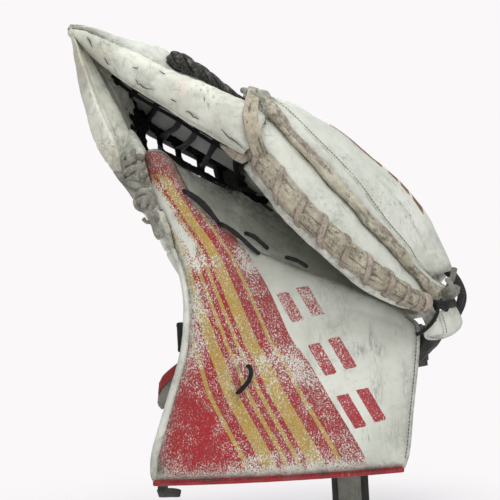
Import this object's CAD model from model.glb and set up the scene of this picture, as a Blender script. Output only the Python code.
"""A padded catching glove with a printed cuff, a laced pocket, a finger section and wrist straps.

It stands with x to the right, y away from the viewer and z up. The cuff is low, the thumb and
the pocket are up on the left and the fingers are on the right. Lengths are millimetres and are
turned into metres when a mesh is made.
"""
import math

import bmesh
import bpy
import numpy as np
from mathutils import Matrix, Vector

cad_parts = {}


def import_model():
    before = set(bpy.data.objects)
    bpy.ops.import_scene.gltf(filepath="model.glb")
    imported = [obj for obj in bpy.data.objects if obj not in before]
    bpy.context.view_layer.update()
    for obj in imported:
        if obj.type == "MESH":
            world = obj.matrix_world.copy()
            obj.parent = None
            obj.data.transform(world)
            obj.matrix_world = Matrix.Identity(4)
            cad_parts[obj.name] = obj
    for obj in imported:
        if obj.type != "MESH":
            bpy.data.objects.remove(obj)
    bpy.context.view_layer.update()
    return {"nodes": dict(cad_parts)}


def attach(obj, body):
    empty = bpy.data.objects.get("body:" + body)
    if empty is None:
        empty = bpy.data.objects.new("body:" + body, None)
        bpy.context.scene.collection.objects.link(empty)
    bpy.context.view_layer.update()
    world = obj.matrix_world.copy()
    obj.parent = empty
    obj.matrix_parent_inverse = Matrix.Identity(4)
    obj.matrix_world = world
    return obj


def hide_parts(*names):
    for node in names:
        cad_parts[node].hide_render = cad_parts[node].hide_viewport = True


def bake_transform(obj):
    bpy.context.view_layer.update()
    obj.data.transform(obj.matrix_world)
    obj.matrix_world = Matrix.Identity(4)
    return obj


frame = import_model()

MILLIMETRE = 0.001
BACK = np.array([0.0, 1.0, 0.0])
FRONT = -BACK

# The fold is the line where the palm breaks. Along it runs up to the left, and up from it is
# square to the line, in the x-z plane.
FOLD_ORIGIN = np.array([-9.6, 105.0, 234.8])
FOLD_ALONG = np.array([-0.7625, 0.0, 0.6470])
FOLD_UP = np.array([0.6470, 0.0, 0.7625])


# ------------------------------------------------------------------ numbers
def lattice(ix, iy, iz, seed):
    """Repeatable values from -1 to 1 at whole-number places."""
    mixed = (ix * 374761393 + iy * 668265263 + iz * 1274126177 + seed * 362437) & 0xFFFFFFFF
    mixed = ((mixed ^ (mixed >> 13)) * 1103515245) & 0xFFFFFFFF
    mixed = ((mixed ^ (mixed >> 15)) * 2246822519) & 0xFFFFFFFF
    return ((mixed ^ (mixed >> 16)) & 0xFFFFF) / float(0xFFFFF) * 2.0 - 1.0


def noise(points, size, seed=0):
    """Smooth noise from -1 to 1 with features about `size` across."""
    scaled = np.asarray(points, float) / size + 1000.0
    cell = np.floor(scaled).astype(np.int64)
    part = scaled - cell
    part = part * part * (3 - 2 * part)
    total = np.zeros(scaled.shape[:-1])
    for dx in (0, 1):
        for dy in (0, 1):
            for dz in (0, 1):
                weight = ((part[..., 0] if dx else 1 - part[..., 0])
                          * (part[..., 1] if dy else 1 - part[..., 1])
                          * (part[..., 2] if dz else 1 - part[..., 2]))
                total += weight * lattice(cell[..., 0] + dx, cell[..., 1] + dy,
                                          cell[..., 2] + dz, seed)
    return total


def fractal(points, size, octaves, seed):
    """Noise summed over octaves, each half the size and strength of the one before."""
    total, strength, weight = 0.0, 1.0, 0.0
    for k in range(octaves):
        total = total + strength * noise(points, size / 2 ** k, seed + 17 * k)
        weight += strength
        strength *= 0.5
    return total / weight


def grain(depth, size, seed):
    """Relief for a sweep, made of plain noise."""
    return lambda pts, along, angle: depth * noise(pts, size, seed)


def clamp(value, low=0, high=1):
    return np.clip(value, low, high)


def bump(value, centre, width):
    return np.exp(-((value - centre) / width) ** 2)


def unit(vector):
    vector = np.asarray(vector, float)
    return vector / np.maximum(np.linalg.norm(vector, axis=-1, keepdims=True), 1e-9)


def profile(count, places, values):
    """Values set at places from 0 to 1, read at `count` even steps."""
    return np.interp(np.linspace(0, 1, count), places, values)


def lengths(path):
    """Distance from the start at each point of a path."""
    return np.r_[0, np.cumsum(np.linalg.norm(np.diff(path, axis=0), axis=1))]


def sample(curve, distance, wanted):
    """Every column of a curve, read at the wanted distances."""
    return np.column_stack([np.interp(wanted, distance, column) for column in curve.T])


def spline(points, count, start=0.0, end=1.0, closed=False):
    """Even steps by length on a smooth curve. Columns after the third ride along."""
    points = np.array([list(p) for p in points], float)
    if closed:
        padded = np.vstack([points[-1:], points, points[:2]])
        spans = len(points)
    else:
        padded = np.vstack([2 * points[0] - points[1], points, 2 * points[-1] - points[-2]])
        spans = len(points) - 1
    t = np.linspace(0, 1, 24, endpoint=False)[:, None]
    pieces = []
    for i in range(spans):
        p0, p1, p2, p3 = padded[i:i + 4]
        pieces.append(0.5 * (2 * p1 + (-p0 + p2) * t + (2 * p0 - 5 * p1 + 4 * p2 - p3) * t ** 2
                             + (-p0 + 3 * p1 - 3 * p2 + p3) * t ** 3))
    curve = np.vstack(pieces + [padded[spans + 1:spans + 2]])
    distance = lengths(curve[:, :3])
    return sample(curve, distance,
                  np.linspace(start, end, count, endpoint=not closed) * distance[-1])


def fold_point(along, height, y):
    """Place given by its distance along the fold, its height over it, and y."""
    x, z = (FOLD_ORIGIN[k] + along * FOLD_ALONG[k] + height * FOLD_UP[k] for k in (0, 2))
    return np.stack(np.broadcast_arrays(x, y, z), -1)


def fold_coordinates(points):
    """Distance along the fold and height over it."""
    dx, dz = points[..., 0] - FOLD_ORIGIN[0], points[..., 2] - FOLD_ORIGIN[2]
    return dx * FOLD_ALONG[0] + dz * FOLD_ALONG[2], dx * FOLD_UP[0] + dz * FOLD_UP[2]


def line_distance(points, line):
    """Distance from (x, z) points to a line of (x, z) points."""
    flat = points.reshape(-1, 2)
    first, step = line[:-1], line[1:] - line[:-1]
    nearest = np.full(len(flat), 1e9)
    block = 20000  # points handled at once, to bound memory
    for s in range(0, len(flat), block):
        q = flat[s:s + block]
        t = clamp(((q[:, None] - first) * step).sum(2)
                  / np.maximum((step * step).sum(1), 1e-9))
        close = first + t[..., None] * step
        nearest[s:s + block] = np.sqrt(((q[:, None] - close) ** 2).sum(2)).min(1)
    return nearest.reshape(points.shape[:-1])


def crease_distance(points, line, count):
    """Distance seen from the front, from points to a smooth line."""
    return line_distance(points[..., [0, 2]], spline(line, count)[:, [0, 2]])


# ------------------------------------------------------------------- meshes
class Shape:
    """Points, faces, and named values at the points for the materials."""

    def __init__(self, points, faces, **values):
        self.points = points
        self.faces = faces
        self.values = values

    def soil(self, dirt):
        self.values["dirt"] = clamp(np.broadcast_to(dirt, (len(self.points),)))
        return self

    def smudge(self, base, amount, size, seed):
        return self.soil(base + amount * noise(self.points, size, seed))


def store_rest_position(mesh):
    """Keeps the rest position in millimetres, where the textures are placed."""
    places = np.zeros(len(mesh.vertices) * 3, np.float32)
    mesh.vertices.foreach_get("co", places)
    attribute = mesh.attributes.new("mm", "FLOAT_VECTOR", "POINT")
    attribute.data.foreach_set("vector", places * 1000.0)


def add(name, shape, material, body, replaces=None):
    """Makes the object. body is one body's name, or (body, body, start, end) for a blend."""
    mesh = bpy.data.meshes.new(name)
    mesh.from_pydata((shape.points * MILLIMETRE).tolist(), [], shape.faces)
    mesh.update()
    work = bmesh.new()
    work.from_mesh(mesh)
    bmesh.ops.recalc_face_normals(work, faces=work.faces)
    work.to_mesh(mesh)
    work.free()
    for key, value in shape.values.items():
        attribute = mesh.attributes.new(key, "FLOAT", "POINT")
        attribute.data.foreach_set("value", np.asarray(value, np.float32))
    mesh.polygons.foreach_set("use_smooth", [True] * len(mesh.polygons))
    piece = bpy.data.objects.new(name, mesh)
    bpy.context.scene.collection.objects.link(piece)
    store_rest_position(mesh)
    mesh.materials.append(MATERIALS[material])
    if isinstance(body, str):
        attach(piece, body)
    else:
        first, second, start, end = body
        tuple(np.array(start) * MILLIMETRE)
        tuple(np.array(end) * MILLIMETRE)
        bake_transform(piece)
    if replaces:
        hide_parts(replaces)


def join(shapes):
    faces, offset = [], 0
    for shape in shapes:
        faces += [[i + offset for i in face] for face in shape.faces]
        offset += len(shape.points)
    values = {key: np.concatenate([s.values[key] for s in shapes]) for key in ("ul", "vl")}
    return Shape(np.vstack([s.points for s in shapes]), faces, **values)


def grid_faces(rows, columns, wrap=False):
    faces = []
    for i in range(rows - 1):
        for j in range(columns if wrap else columns - 1):
            a, b = i * columns + j, i * columns + (j + 1) % columns
            faces.append([a, b, b + columns, a + columns])
    return faces


def tube_faces(rings, segments):
    """Faces of a tube whose two end points come after its rings."""
    faces = grid_faces(rings, segments, wrap=True)
    first_end, last_ring = rings * segments, (rings - 1) * segments
    for j in range(segments):
        k = (j + 1) % segments
        faces.append([first_end, k, j])
        faces.append([first_end + 1, last_ring + j, last_ring + k])
    return faces


def frames(path, up):
    """Tangent, up and side directions at each point of a path."""
    tangent = unit(np.gradient(path, axis=0))
    up = np.asarray(up, float)
    above = unit(up - (up * tangent).sum(1, keepdims=True) * tangent)
    return tangent, above, np.cross(tangent, above)


def sweep(path, half_up, half_side=None, *, up, segments=24, power=2.0, twist=0.0, cap_rings=4,
          cap_length=None, relief=None):
    """Closed roll along a path. A power over 2 squares its section."""
    path = np.asarray(path, float)[:, :3]
    count = len(path)
    half_up = np.broadcast_to(half_up, (count,))
    half_side = half_up if half_side is None else np.broadcast_to(half_side, (count,))
    tangent, above, side = frames(path, up)
    turn = np.broadcast_to(twist, (count,))[:, None]
    above, side = (above * np.cos(turn) + side * np.sin(turn),
                   side * np.cos(turn) - above * np.sin(turn))
    angle = np.linspace(0, 2 * np.pi, segments, endpoint=False)

    def squared(value):
        return (np.sign(value) * np.abs(value) ** (2 / power))[None, :, None]

    radial = (above[:, None] * (half_up[:, None, None] * squared(np.cos(angle)))
              + side[:, None] * (half_side[:, None, None] * squared(np.sin(angle))))
    points = path[:, None] + radial
    distance = lengths(path)
    along = np.tile(distance[:, None], (1, segments))
    if relief is not None:
        raised = relief(points, along, np.tile(angle, (count, 1)))
        points = points + unit(radial) * raised[..., None]

    def cap(end, reach, steps):
        for step in steps:
            lean = math.pi / 2 * step / (cap_rings + 1)
            yield (path[end] + (points[end] - path[end]) * math.cos(lean)
                   + tangent[end] * reach * math.sin(lean))

    reach = [min(half_up[k], half_side[k]) * 0.8 if cap_length is None else cap_length
             for k in (0, -1)]
    rings = np.array([*cap(0, -reach[0], range(cap_rings, 0, -1)), *points,
                      *cap(-1, reach[1], range(1, cap_rings + 1))])
    capped = cap_rings * segments
    radius = float(np.mean(half_up + half_side)) / 2
    return Shape(np.vstack([rings.reshape(-1, 3), path[0] - tangent[0] * reach[0],
                            path[-1] + tangent[-1] * reach[1]]),
                 tube_faces(len(rings), segments),
                 ul=np.r_[np.zeros(capped), along.ravel(), np.full(capped, distance[-1]),
                          0, distance[-1]],
                 vl=np.r_[np.tile(angle * radius, len(rings)), 0, 0])


def grid_normal(face):
    return unit(np.cross(np.gradient(face, axis=0), np.gradient(face, axis=1)))


def upward_normals(face, row, column):
    """Grid normals on the side that faces up from the fold at the given grid point."""
    normals = grid_normal(face)
    return -normals if normals[row, column] @ FOLD_UP < 0 else normals


def panel(face, thickness, facing, relief=None, relief_inner=None, edge_steps=5, bulge=1.0,
          **fields):
    """Closed padded sheet. face (rows, columns, 3) is the shown side, and facing points out."""
    rows, columns = face.shape[:2]
    normals = grid_normal(face)
    if normals.mean((0, 1)) @ np.asarray(facing, float) < 0:
        normals = -normals
    inner = face - normals * thickness
    if relief is not None:
        face = face + normals * relief[..., None]
    if relief_inner is not None:
        inner = inner - normals * relief_inner[..., None]
    border = ([(0, j) for j in range(columns)] + [(i, columns - 1) for i in range(1, rows)]
              + [(rows - 1, j) for j in range(columns - 2, -1, -1)]
              + [(i, 0) for i in range(rows - 2, 0, -1)])
    size = len(border)
    i, j = np.array(border).T
    normal = normals[i, j]
    outward = unit(face[i, j] - face[clamp(i, 1, rows - 2), clamp(j, 1, columns - 2)])
    outward = unit(outward - (outward * normal).sum(1, keepdims=True) * normal)
    top, bottom = face[i, j], inner[i, j]
    middle = (top + bottom) / 2
    half = np.linalg.norm(top - bottom, axis=1)[:, None] / 2
    across = unit(top - bottom)

    cells = rows * columns
    points = [face.reshape(-1, 3), inner.reshape(-1, 3)]
    faces = grid_faces(rows, columns)
    faces += [[a + cells for a in quad[::-1]] for quad in faces]
    previous = [a * columns + b for a, b in border]
    last = [a + cells for a in previous]

    def bridge(ring):
        for k in range(size):
            after = (k + 1) % size
            faces.append([previous[k], previous[after], ring[after], ring[k]])

    for step in range(1, edge_steps):
        lean = math.pi * step / edge_steps
        swell = bulge * math.sin(lean) ** (1.0 if bulge == 1.0 else 0.6)
        points.append(middle + across * half * math.cos(lean) + outward * half * swell)
        ring = [2 * cells + (step - 1) * size + k for k in range(size)]
        bridge(ring)
        previous = ring
    bridge(last)

    row_length, column_length = lengths(face[:, columns // 2]), lengths(face[rows // 2])
    along = np.tile(row_length[:, None], (1, columns))
    over = np.tile(column_length[None], (rows, 1))
    inset = np.minimum(np.minimum(along, row_length[-1] - along),
                       np.minimum(over, column_length[-1] - over))

    def spread(field, rim=None):
        rim = field[i, j] if rim is None else np.full(size, rim)
        return np.concatenate([field.ravel(), field.ravel()] + [rim] * (edge_steps - 1))

    values = {"ul": spread(along), "vl": spread(over), "edge": spread(np.exp(-inset / 6.0), 1.0)}
    through = np.linspace(0, 1, edge_steps + 1)[1:-1]
    values["back"] = np.r_[np.zeros(cells), np.ones(cells), np.repeat(through, size)]
    for key, field in fields.items():
        values[key] = spread(np.broadcast_to(field, (rows, columns)))
    return Shape(np.vstack(points), faces, **values)


def loft(curves, columns, closed=False):
    """Grid across curves that have the same number of points."""
    return np.array([spline(row, columns, closed=closed) for row in zip(*curves)])


def between(curves, rows, columns):
    return loft([spline(curve, rows) for curve in curves], columns)


def sheet(curves, rows, columns, thickness, depth, size, seed, octaves=2, edge_steps=4,
          dirt=None):
    """Noisy panel between curves, facing the front. dirt is (base, amount, size, seed)."""
    face = between(curves, rows, columns)
    fields = {}
    if dirt:
        base, amount, spot_size, spot_seed = dirt
        fields["dirt"] = clamp(base + amount * fractal(face, spot_size, 2, spot_seed))
    return panel(face, thickness, FRONT, relief=depth * fractal(face, size, octaves, seed),
                 edge_steps=edge_steps, **fields)


def smooth_rows(face, times):
    for _ in range(times):
        face[1:-1] = (face[:-2] + 2 * face[1:-1] + face[2:]) / 4


def grid_steps(rows, columns):
    """Column and row of values from 0 to 1 that span a grid."""
    return np.linspace(0, 1, rows)[:, None], np.linspace(0, 1, columns)[None]


def stitches(path, pitch, length, radius, up=FRONT):
    """Row of short sewn threads along a path."""
    path = np.asarray(path, float)
    up = np.asarray(up, float)
    distance = lengths(path)
    arch = np.array([-0.15, 0.25, 0.25, -0.15])[:, None] * radius * 2
    thread = [radius * 0.8, radius, radius, radius * 0.8]
    return join([sweep(sample(path, distance, np.linspace(s, s + length, 4)) + up * arch,
                       thread, up=up, segments=6, cap_rings=1)
                 for s in np.arange(pitch * 0.5, distance[-1] - length, pitch)])


def even_widths(widths, count):
    return profile(count, np.linspace(0, 1, len(widths)), widths)


def lace(points, half_width, half_thick, up, seed, count=50, twist=0.0, knots=(),
         widths=(1, 1)):
    """Flat lace with rings wound round it at the places given by knots, from 0 to 1."""
    path = spline(points, count)
    width = half_width * (1 + 0.10 * noise(path, 6, seed)) * even_widths(widths, count)
    parts = [sweep(path, half_thick * (1 + 0.1 * noise(path, 5, seed + 3)), width, up=up,
                   segments=16, power=2.6, twist=np.linspace(0, twist, count),
                   relief=grain(0.12, 1.7, seed + 5))]
    angle = np.linspace(0, 4.2 * np.pi, 60)[:, None]
    for place in knots:
        k = int(place * (count - 1))
        tangent = unit(np.gradient(path, axis=0))[k]
        across = unit(np.cross(tangent, [0, 1, 0.2]))
        ring = (path[k] + across * np.cos(angle) * (half_width + 0.7)
                + np.cross(tangent, across) * np.sin(angle) * (half_thick + 0.9)
                + tangent * np.linspace(-2.2, 2.2, 60)[:, None])
        parts.append(sweep(ring, 1.15, 1.35, up=tangent, segments=12,
                           relief=grain(0.1, 1.5, seed)))
    return join(parts)


def ribbon(points, half_width, half_thick, seed, count=70, power=2.8, widths=(1, 1),
           depth=0.18):
    """Flat strap end or tie that faces the front."""
    path = spline(points, count)
    width = half_width * even_widths(widths, count) * (1 + 0.06 * noise(path, 7, seed))
    return sweep(path, half_thick * (1 + 0.1 * noise(path, 5, seed + 2)), width, up=FRONT,
                 segments=20, power=power, relief=grain(depth, 2.2, seed + 4))


def strand(path, angle, offset, half_up, half_side, segments, relief=None):
    """Flat strand wound round a path at the given angles and distance."""
    _, above, side = frames(path, FOLD_UP)
    out = above * np.cos(angle)[:, None] + side * np.sin(angle)[:, None]
    return sweep(path + out * np.reshape(offset, (-1, 1)), half_up, half_side, up=out,
                 segments=segments, power=2.5, relief=relief)


def sleeve(path, radii, thickness, up, segments, relief):
    """Thick sleeve with an open, hemmed mouth at the path's start and a closed far end."""
    tangent, above, side = frames(path, up)
    count = len(path)
    angle = np.linspace(0, 2 * np.pi, segments, endpoint=False)[:, None]

    def ring(i, radius, offset=0.0):
        return (path[i] + tangent[i] * offset
                + (above[i] * np.cos(angle) + side[i] * np.sin(angle)) * radius)

    deepest = int(count * 0.93)
    rings = [ring(i, radii[i] - thickness) for i in range(deepest, -1, -2)]
    for turn in np.linspace(0.25, 0.75, 4) * np.pi:
        rings.append(ring(0, radii[0] - thickness / 2 - thickness * 0.5 * np.cos(turn),
                          -np.sin(turn)))
    for i in range(count):
        rings.append(ring(i, radii[i] * (1 + 0.055 * bump(i, 6, 3.0))))
    tip_steps = 6
    tip_reach = radii[-1] * 0.75
    for step in range(1, tip_steps):
        lean = np.pi / 2 * step / tip_steps
        rings.append(ring(count - 1, radii[-1] * np.cos(lean), tip_reach * np.sin(lean)))
    rings = np.array(rings)
    rings = rings + unit(rings - rings.mean(1, keepdims=True)) * relief(rings)[..., None]
    total = len(rings)
    inner_end = rings[0].mean(0) + tangent[deepest] * radii[deepest] * 0.4
    return Shape(np.vstack([rings.reshape(-1, 3), inner_end,
                            path[-1] + tangent[-1] * tip_reach]),
                 tube_faces(total, segments),
                 ul=np.r_[np.repeat(np.arange(total) * 1.5, segments), 0, total * 1.5],
                 vl=np.r_[np.tile(angle[:, 0] * radii[0], total), 0, 0])


# ---------------------------------------------------------------- materials
def linear(color):
    """Linear RGBA from screen RGB."""
    color = np.asarray(color, float)
    value = np.where(color <= 0.04045, color / 12.92, ((color + 0.055) / 1.055) ** 2.4)
    return (*(float(v) for v in value), 1.0)


class Material:
    """Node material built up in layers of colour. Texture sizes are in millimetres."""

    def __init__(self, name, color):
        self.data = bpy.data.materials.new(name)
        self.data.use_nodes = True
        self.tree = self.data.node_tree
        self.tree.nodes.clear()
        output = self.node("OutputMaterial")
        self.surface = self.node("BsdfPrincipled")
        self.tree.links.new(self.surface.outputs[0], output.inputs[0])
        self.color = color

    def node(self, kind, **settings):
        node = self.tree.nodes.new("ShaderNode" + kind)
        for key, value in settings.items():
            setattr(node, key, value)
        return node

    def put(self, socket, value):
        if isinstance(value, bpy.types.NodeSocket):
            self.tree.links.new(value, socket)
        else:
            socket.default_value = value

    def attribute(self, name):
        return self.node("Attribute", attribute_name=name).outputs["Fac"]

    def position(self, stretch, turn, shift):
        rest = self.node("Attribute", attribute_name="mm")
        mapping = self.node("Mapping")
        self.put(mapping.inputs["Vector"], rest.outputs["Vector"])
        mapping.inputs["Scale"].default_value = stretch
        mapping.inputs["Rotation"].default_value = turn
        mapping.inputs["Location"].default_value = shift
        return mapping.outputs[0]

    def math(self, operation, a, b=0.0, clamped=False):
        node = self.node("Math", operation=operation, use_clamp=clamped)
        self.put(node.inputs[0], a)
        self.put(node.inputs[1], b)
        return node.outputs[0]

    def mul(self, total, *others):
        for value in others:
            total = self.math("MULTIPLY", total, value)
        return total

    def add(self, total, *others):
        for value in others:
            total = self.math("ADD", total, value)
        return total

    def remap(self, value, band, to=(0.0, 1.0)):
        node = self.node("MapRange", clamp=True)
        for i, number in enumerate((value, *band, *to)):
            self.put(node.inputs[i], number)
        return node.outputs[0]

    def noise(self, size, detail, rough, vector=None, distort=0.0, stretch=(1, 1, 1),
              turn=(0, 0, 0), shift=(0, 0, 0)):
        node = self.node("TexNoise")
        node.inputs["Scale"].default_value = 1.0 / size
        node.inputs["Detail"].default_value = detail
        node.inputs["Roughness"].default_value = rough
        node.inputs["Distortion"].default_value = distort
        self.put(node.inputs["Vector"], vector or self.position(stretch, turn, shift))
        return node.outputs[0]

    def patches(self, band, to=(0.0, 1.0), **noise):
        """Noise with the values in band stretched to the values in to."""
        return self.remap(self.noise(**noise), band, to)

    def jitter(self, amount, **noise):
        return self.mul(self.math("SUBTRACT", self.noise(**noise), 0.5), amount)

    def voronoi(self, size, feature="DISTANCE_TO_EDGE", warp=0.0, random=1.0,
                stretch=(1, 1, 1)):
        vector = self.position(stretch, (0, 0, 0), (0, 0, 0))
        if warp:
            bend = self.node("TexNoise")
            bend.inputs["Scale"].default_value = 1.0 / (size * 0.8)
            bend.inputs["Detail"].default_value = 3
            self.put(bend.inputs["Vector"], vector)
            moved = self.node("VectorMath", operation="MULTIPLY_ADD")
            self.put(moved.inputs[0], bend.outputs["Color"])
            moved.inputs[1].default_value = (warp,) * 3
            self.put(moved.inputs[2], vector)
            vector = moved.outputs[0]
        node = self.node("TexVoronoi", feature=feature)
        node.inputs["Scale"].default_value = 1.0 / size
        node.inputs["Randomness"].default_value = random
        self.put(node.inputs["Vector"], vector)
        return node.outputs["Distance"]

    def cracks(self, width, where, **voronoi):
        """Thin lines along cell borders, only in the places marked by where."""
        return self.mul(self.remap(self.voronoi(**voronoi), (0.0, width), (1.0, 0.0)), where)

    def soiling(self):
        """Worn edges and painted dirt together."""
        return self.math("ADD", self.attribute("edge"), self.attribute("dirt"), clamped=True)

    def stripes(self, value, stops):
        """Hard-edged colours from (position, colour) stops."""
        node = self.node("ValToRGB")
        ramp = node.color_ramp
        ramp.interpolation = "CONSTANT"
        while len(ramp.elements) < len(stops):
            ramp.elements.new(0.5)
        for element, (place, color) in zip(ramp.elements, stops):
            element.position = place
            element.color = linear(color)
        self.put(node.inputs[0], value)
        return node.outputs["Color"]

    def mix(self, factor, under, over):
        node = self.node("Mix", data_type="RGBA", blend_type="MIX")
        self.put(node.inputs[0], factor)
        for socket, color in ((node.inputs[6], under), (node.inputs[7], over)):
            self.put(socket, linear(color) if isinstance(color, tuple) else color)
        return node.outputs[2]

    def layer(self, *factors, color):
        """Lays a colour over the ones so far, as strongly as the factors multiplied."""
        self.color = self.mix(self.mul(*factors), self.color, color)

    def finish(self, roughness, height, strength, distance, specular=0.5, metallic=0.0,
               sheen=0.0):
        inputs = self.surface.inputs
        self.put(inputs["Base Color"], self.color)
        self.put(inputs["Roughness"], roughness)
        inputs["Specular IOR Level"].default_value = specular
        inputs["Metallic"].default_value = metallic
        inputs["Coat Roughness"].default_value = 0.35
        if sheen:
            inputs["Sheen Weight"].default_value = sheen
            inputs["Sheen Roughness"].default_value = 0.5
        bumps = self.node("Bump")
        bumps.inputs["Strength"].default_value = strength
        bumps.inputs["Distance"].default_value = distance
        self.put(bumps.inputs["Height"], height)
        self.put(inputs["Normal"], bumps.outputs[0])
        return self.data


def leather(name, base=(0.87, 0.88, 0.835), dark=(0.70, 0.715, 0.665), grime=0.5, scuff=0.6,
            crack=0.3, stain=0.25, gloss=0.46, streak_turn=(0, 0.7, 0), crack_size=9.0,
            wrinkle=0.5, scuff_color=(0.20, 0.205, 0.19), band=False):
    mat = Material(name, base)
    mat.layer(mat.patches((0.40, 0.72), size=46, detail=4, rough=0.6), color=dark)
    if band:
        flakes = mat.patches((0.52, 0.62), size=1.3, detail=4, rough=0.7)
        gold = mat.math("SUBTRACT", mat.attribute("gold"), mat.mul(flakes, 0.45))
        mat.layer(mat.remap(gold, (0.48, 0.55)), color=(0.50, 0.33, 0.15))
    # warm and pink stains, then mottled grime
    warm = mat.patches((0.55, 0.78), size=30, detail=3, rough=0.5, shift=(40, 9, 3))
    mat.layer(warm, stain, color=(0.78, 0.735, 0.62))
    pink = mat.patches((0.63, 0.75), size=21, detail=3, rough=0.5, shift=(7, 90, 31))
    mat.layer(pink, stain * 0.6, color=(0.82, 0.66, 0.62))
    mat.layer(mat.patches((0.47, 0.72), size=5.0, detail=6, rough=0.7),
              mat.patches((0.46, 0.68), size=34, detail=3, rough=0.6, shift=(3, 70, 11)),
              grime, color=(0.40, 0.405, 0.375))
    # rubbed streaks, in two directions
    first = mat.mul(mat.patches((0.55, 0.70), size=2.6, detail=6, rough=0.72,
                                stretch=(1, 1, 0.16), turn=streak_turn),
                    mat.patches((0.54, 0.66), size=30, detail=2, rough=0.5,
                                shift=(80, 5, 60)))
    second = mat.mul(mat.patches((0.56, 0.70), size=1.9, detail=5, rough=0.7,
                                 stretch=(0.18, 1, 1), turn=(0.3, -0.5, 0.2),
                                 shift=(9, 3, 40)),
                     mat.patches((0.57, 0.68), size=26, detail=2, rough=0.5,
                                 shift=(12, 55, 8)))
    streaks = mat.math("MAXIMUM", first, second)
    mat.layer(streaks, scuff, color=scuff_color)
    lines = mat.cracks(width=0.035, size=crack_size, warp=crack_size * 0.55,
                       stretch=(1, 1, 0.6),
                       where=mat.patches((0.50, 0.64), size=24, detail=2, rough=0.5,
                                         shift=(61, 22, 90)))
    mat.layer(lines, crack, color=(0.25, 0.25, 0.225))
    # dirt gathers along edges and in dents
    mat.layer(mat.soiling(),
              mat.patches((0.32, 0.62), size=7, detail=5, rough=0.7, shift=(5, 5, 5)),
              0.62, color=(0.36, 0.36, 0.325))
    height = mat.add(mat.mul(mat.voronoi(size=1.15, feature="F1", warp=0.4), 0.10),
                     mat.mul(mat.noise(size=0.55, detail=3, rough=0.6), 0.10),
                     mat.mul(mat.noise(size=6, detail=4, rough=0.6, stretch=(1, 1, 0.45)),
                             wrinkle * 1.5),
                     mat.mul(lines, -0.7))
    roughness = mat.add(mat.patches((0.3, 0.7), to=(gloss - 0.07, gloss + 0.12), size=12,
                                    detail=4, rough=0.6, shift=(2, 2, 9)),
                        mat.mul(streaks, 0.15))
    return mat.finish(roughness, height, strength=0.55, distance=0.0011, specular=0.42)


RED, PALE_RED, GOLD = (0.595, 0.065, 0.115), (0.63, 0.075, 0.125), (0.69, 0.565, 0.235)
# printed bands: value of the attribute "s" where each begins, and its colour
STRIPES = [(0.0, RED), (0.47, GOLD), (0.57, RED), (0.84, GOLD), (1.16, RED), (1.29, GOLD),
           (1.38, RED), (1.54, GOLD), (1.63, RED), (1.79, GOLD), (2.08, RED), (2.33, GOLD),
           (2.43, PALE_RED)]
STRIPE_SCALE = 0.25  # brings the values of s into the colour ramp's 0 to 1


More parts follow.
